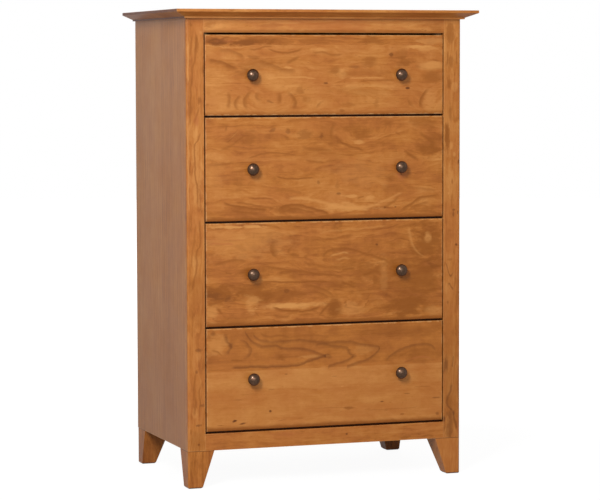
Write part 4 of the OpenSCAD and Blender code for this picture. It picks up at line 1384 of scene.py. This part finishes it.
@dataclass
class Drawer:
    """A drawer: a cherry front on a dovetailed maple box, with two bronze knobs.

    Attributes:
        number: Its place from the top.
        foot: Radius and thickness of a knob's foot, in m.
        neck: Radius of a knob's neck, in m.
        rim: Radius of a knob's rounded rim, in m.
        rim_back: Distance from the knob's crown back to the middle of its rim, in m.
        facets: Steps round a knob.
        steps: Steps along the cove, the rim and the dome of its outline.
        weld: Distance within which a knob's points are merged, in m.
    """

    number: int
    foot: Point = (8.0 * MM, 1.5 * MM)
    neck: float = 6.0 * MM
    rim: float = 5.0 * MM
    rim_back: float = 11.0 * MM
    facets: int = 72
    steps: tuple[int, int, int] = (12, 16, 18)
    weld: float = 0.001 * MM

    def node(self, part: str) -> str:
        """Returns the name of the node of one part of the drawer."""
        return f"drawer_{self.number}_{part}"

    def build(self) -> None:
        """Dresses the drawer's boards and turns its knobs."""
        seed = float(self.number)
        boards = (("front", CHERRY, Grain.RAIL, FRONT_FIGURES[self.number]),
                  ("side_left", MAPLE, Grain.DRAWER_SIDE, Figure.plain(9, 0.3, 1.2, 5 * seed)),
                  ("side_right", MAPLE, Grain.DRAWER_SIDE, Figure.plain(9, 0.3, 1.2, 9 * seed)),
                  ("back", MAPLE, Grain.RAIL, Figure.plain(9, 0.3, 1.2, 13 * seed)),
                  ("bottom", BIRCH, Grain.TOP,
                   Figure.plain(30, 0.35, 3.0, 17 * seed, bends=(500, 90, 160))))
        for part, timber, grain, figure in boards:
            dress_board(self.node(part), timber, grain, figure)
        dress(self.node("knob_screws"), bpy.data.materials[ZINC.name])
        self.knobs()

    def knob_outline(self, radius: float, length: float) -> list[Vector]:
        """Draws half of a knob's outline, from its foot to its crown.

        Args:
            radius: The knob's largest radius.
            length: Distance from the drawer front to the crown.

        Returns:
            Points in X and Z, from the middle of the foot to the middle of the crown.
        """
        foot, thick = self.foot
        waist = foot - self.neck
        half = (length - self.rim_back - self.rim - thick) / 2
        cove = (half ** 2 + waist ** 2) / (2 * waist)
        lean = math.asin(half / cove)
        middle = radius - self.rim
        rise = self.rim_back
        dome = (middle ** 2 + rise ** 2 - self.rim ** 2) / (2 * (rise - self.rim))
        meet = math.atan2(dome - rise, middle)
        outline = [Vector((0, 0, 0)), Vector((foot, 0, 0))]
        arcs = (((self.neck + cove, thick + half), cove, math.pi + lean, math.pi - lean),
                ((middle, length - rise), self.rim, -0.5 * math.pi, meet),
                ((0, length - dome), dome, meet, 0.5 * math.pi))
        for ((x, z), size, start, end), steps in zip(arcs, self.steps):
            for step in range(steps + 1):
                angle = start + (end - start) * step / steps
                outline.append(Vector((x + size * math.cos(angle), 0, z + size * math.sin(angle))))
        return outline

    def knobs(self) -> None:
        """Turns both knobs where the CAD knobs are."""
        low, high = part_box(self.node("knobs"))
        radius = (high.z - low.z) / 2
        bm = bmesh.new()
        for x in (low.x + radius, high.x - radius):
            outline = [bm.verts.new(at) for at in self.knob_outline(radius, high.y - low.y)]
            # The crown lies right on the axis, so that the turned shape closes there.
            outline[-1].co.x = 0.0
            edges = [bm.edges.new(pair) for pair in zip(outline, outline[1:])]
            bmesh.ops.spin(bm, geom=outline + edges, cent=(0, 0, 0), axis=(0, 0, 1),
                           dvec=(0, 0, 0), angle=2 * math.pi, steps=self.facets,
                           use_merge=True, use_duplicate=False)
            knob = [vert for vert in bm.verts if not vert.tag]
            forward = Matrix.Rotation(math.pi / 2, 3, "X")
            bmesh.ops.rotate(bm, verts=knob, cent=(0, 0, 0), matrix=forward)
            bmesh.ops.translate(bm, verts=knob, vec=(x, high.y, (low.z + high.z) / 2))
            # The tag keeps this knob in place while the next one is turned.
            for vert in bm.verts:
                vert.tag = True
        bmesh.ops.remove_doubles(bm, verts=bm.verts, dist=self.weld)
        bmesh.ops.recalc_face_normals(bm, faces=bm.faces)
        piece = piece_from(bm, f"knob_pair_{self.number}", bpy.data.materials[BRONZE.name])
        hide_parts(self.node("knobs"))
        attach(piece, f"drawer_{self.number}")


def piece_from(bm: bmesh.types.BMesh, name: str, material: bpy.types.Material) -> bpy.types.Object:
    """Makes a smooth-shaded piece of a bmesh and frees the bmesh.

    Args:
        bm: The finished mesh.
        name: The piece's name.
        material: What it is made of.

    Returns:
        The new object, which stands at the origin.
    """
    for face in bm.faces:
        face.smooth = True
    mesh = bpy.data.meshes.new(name)
    bm.to_mesh(mesh)
    bm.free()
    mesh.materials.append(material)
    piece = bpy.data.objects.new(name, mesh)
    bpy.context.scene.collection.objects.link(piece)
    log.info("%s: %d faces", name, len(mesh.polygons))
    return piece


@dataclass
class Top:
    """The bevelled top board.

    Attributes:
        joints: Where its glued strips meet, front to back, in mm.
        shades: How much paler than the timber's mean each strip is.
    """

    joints: tuple[float, ...] = (-170.0, -60.0, 45.0, 150.0)
    shades: tuple[float, ...] = (0.10, 0.02, 0.08, -0.02, 0.05)

    def build(self) -> None:
        """Dresses the top."""
        strips = glued(self.joints, self.shades, range(61, 96, 7), ring=13, line=0.6, swirl=2.0)
        dress_board("top", CHERRY, Grain.TOP, Figure(strips))


@dataclass
class Case:
    """Side boards, stiles, rails, back panel and what is glued inside.

    Attributes:
        joints: Where the glued strips of a side board meet, front to back, in mm.
        shades: How much paler than the timber's mean each strip is.
    """

    joints: tuple[float, ...] = (-95.0, 10.0, 120.0)
    shades: tuple[float, ...] = (0.0, -0.04, 0.05, 0.01)

    def build(self) -> None:
        """Dresses the case from the outside in."""
        for side, seed in zip(SIDES, (71, 83)):
            seeds = range(seed, seed + 20, 5)
            figure = Figure(
                glued(self.joints, self.shades, seeds, ring=16, line=0.35, swirl=1.6),
                # Painted shade darkens the sides towards the bottom, and painted light pales them
                # towards the top.
                stains=(Stain(DEEP, (90, 20), (420, 420), 0.3, ragged=0.3),
                        Stain(PALE, (1160, 20), (300, 420), 0.12, ragged=0.3)),
                bends=(420, 90, 60), contrast=0.5)
            dress_board(f"side_{side}", CHERRY_PAINTED_SHEEN, Grain.SIDE, figure)
            dress_board(f"stile_{side}", CHERRY, Grain.STILE, STILE_FIGURES[side])
        for place, figure in RAIL_FIGURES.items():
            dress_board(f"{place}_rail", CHERRY, Grain.RAIL, figure)
        figure = Figure.plain(34, 0.4, 3.0, 107, bends=(600, 90, 170))
        dress_board("back_panel", BIRCH, Grain.STILE, figure)
        figure = Figure.plain(10, 0.3, 1.0, 109)
        dress_board("corner_blocks", POPLAR, Grain.STILE, figure)
        for node in ("drawer_guides", "kickers"):
            dress_board(node, MAPLE, Grain.RUNNER, figure)


@dataclass
class Feet:
    """Four tapered block feet.

    Attributes:
        shades: Each foot's place, and how much paler than the timber's mean it is.
        seam: The dark line under the case.
    """

    shades: tuple[tuple[str, float], ...] = (
        # The rear right foot's much darker tone is painted shade, for the shadow under the case.
        ("front_left", -0.12), ("front_right", 0.08), ("rear_left", -0.08), ("rear_right", -0.3))
    seam: Stain = Stain(KNOT, (97, 0), (3, 3000), 0.5, ragged=0.2)

    def build(self) -> None:
        """Dresses each foot with its own piece of upright grain."""
        for seed, (place, shade) in enumerate(self.shades, 113):
            strip = Strip(shade=shade, ring=14, line=0.35, swirl=1.4, seed=seed)
            figure = Figure((strip,), stains=(self.seam,), edge=(2, 0.2))
            dress_board(f"foot_{place}", CHERRY, Grain.STILE, figure)


@dataclass
class WebFrames:
    """The frames that carry the drawers: poplar, with front rails in a dark stain that is also
    painted shade for the gaps they show through.
    """

    def build(self) -> None:
        """Dresses every rail and runner."""
        for number in FRAMES:
            figure = Figure.plain(8, 0.3, 1.2, 131 + 3 * number)
            dress_board(f"frame_{number}_front", STAINED_AND_SHADED, Grain.RAIL, figure)
            dress_board(f"frame_{number}_rear", POPLAR, Grain.RAIL, figure)
            dress_board(f"frame_{number}_runners", POPLAR, Grain.RUNNER, figure)


@dataclass
class Fasteners:
    """The screws of the case and the back."""

    def build(self) -> None:
        """Dresses the screws in plated steel."""
        for node in SCREWS:
            dress(node, bpy.data.materials[ZINC.name])


@dataclass(frozen=True)
class Lamp:
    """A soft box lamp.

    Attributes:
        name: What it is called.
        stand: Where it stands, in m.
        aim: What it points at, in m.
        size: Its width and height, in m.
        power: Its power, in W.
    """

    name: str
    stand: Triple
    aim: Triple
    size: Point
    power: float

    def build(self) -> None:
        """Adds the lamp to the scene."""
        data = bpy.data.lights.new(self.name, "AREA")
        data.shape = "RECTANGLE"
        data.size, data.size_y = self.size
        data.energy = self.power
        lamp = bpy.data.objects.new(self.name, data)
        lamp.location = self.stand
        sight = Vector(self.aim) - Vector(self.stand)
        lamp.rotation_euler = sight.to_track_quat("-Z", "Y").to_euler()
        bpy.context.scene.collection.objects.link(lamp)


@dataclass
class Studio:
    """A pale floor, soft lamps and the camera.

    Attributes:
        stand: Where the camera stands, in m.
        yaw: How far it looks to the right of straight ahead, in degrees.
        pitch: How far it looks down, in degrees.
        roll: Its tilt about its own line of sight, in degrees.
        lens: Its focal length, in mm.
        ambient: Strength of the light from all round.
        mirrored: How much of the white background glossy things show.
        floor_size: Radius of the floor, in m.
        lamps: The lamps.
    """

    stand: Triple = (-2.1988, -6.2665, 1.0689)
    yaw: float = 19.369
    pitch: float = 4.146
    roll: float = -0.13
    lens: float = 149.89
    ambient: float = 0.26
    mirrored: float = 0.6
    floor_size: float = 14.0
    lamps: tuple[Lamp, ...] = (
        Lamp("key_light", (-2.3, -3.2, 2.7), (0.0, -0.2, 0.75), (0.8, 1.5), 130.0),
        Lamp("fill_light", (-0.6, -4.4, 1.6), (0.0, 0.0, 0.7), (2.2, 2.2), 38.0),
        Lamp("rear_light", (1.6, 3.6, 2.4), (0.0, 0.2, 0.6), (2.0, 2.0), 40.0))

    def build(self) -> None:
        """Sets the stage."""
        self.camera()
        self.world()
        self.floor()
        for lamp in self.lamps:
            lamp.build()
        bpy.context.scene.view_settings.view_transform = "Standard"

    def camera(self) -> None:
        """Puts the camera at the photograph's viewing angle."""
        data = bpy.data.cameras.new("camera")
        data.lens = self.lens
        camera = bpy.data.objects.new("camera", data)
        camera.location = self.stand
        turn = Euler((math.pi / 2 - math.radians(self.pitch), 0.0, -math.radians(self.yaw)))
        tilt = Matrix.Rotation(math.radians(self.roll), 3, "Z")
        camera.rotation_euler = (turn.to_matrix() @ tilt).to_euler()
        bpy.context.scene.collection.objects.link(camera)
        bpy.context.scene.camera = camera

    def world(self) -> None:
        """Lights the scene softly from all round, and shows white where nothing stands."""
        world = bpy.data.worlds.new("studio")
        world.use_nodes = True
        bpy.context.scene.world = world
        sheet = Sheet(world.node_tree)
        strength = sheet.blend(self.background_rays(sheet, self.mirrored), self.ambient, 1.0)
        back = sheet.add("Background", WHITE, strength)
        sheet.add("OutputWorld", back.outputs[0])

    def background_rays(self, sheet: Sheet, mirrored: float) -> Socket:
        """Tells the rays that show the background from those that light things.

        Args:
            sheet: The nodes of the world or the floor.
            mirrored: How much a reflected ray counts as one that shows the background.

        Returns:
            The share, from 0 to 1.
        """
        path = sheet.add("LightPath").outputs
        seen = sheet.math("MAXIMUM", path["Is Camera Ray"], path["Is Transmission Ray"])
        return sheet.math("MAXIMUM", seen, sheet.scaled(path["Is Glossy Ray"], mirrored))

    def floor(self) -> None:
        """Lays a pale floor that keeps a faint shadow."""
        bm = bmesh.new()
        bmesh.ops.create_circle(bm, cap_ends=True, segments=96, radius=self.floor_size)
        made = bpy.data.materials.new("pale_floor")
        made.use_nodes = True
        sheet = Sheet(made.node_tree)
        spot = sheet.coordinate("Object")
        speckle = sheet.noise(spot, scale=40.0, detail=3.0)
        shade = sheet.tint(speckle, paint("b4b4b4"), paint("bebebe"))
        matt = sheet.add("BsdfDiffuse", shade)
        glow = sheet.add("Emission", WHITE, 1.2)
        whiter = sheet.ramp(sheet.length(spot), 0.8, 2.4, 0.79, 1.0)
        share = sheet.scaled(self.background_rays(sheet, 0.35), whiter)
        both = sheet.add("MixShader", share, matt.outputs[0], glow.outputs[0])
        sheet.add("OutputMaterial", both.outputs[0])
        piece_from(bm, "floor", made)


def main() -> None:
    """Dresses the chest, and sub-assembly by sub-assembly."""
    logging.basicConfig(level=logging.INFO, format="%(message)s")
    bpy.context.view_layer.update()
    for metal in (BRONZE, ZINC):
        metal.material()
    drawers = (Drawer(number) for number in DRAWERS)
    for part in (Studio(), Top(), Case(), Feet(), WebFrames(), Fasteners(), *drawers):
        log.info("%s", part)
        part.build()


if __name__ == "__main__":
    main()
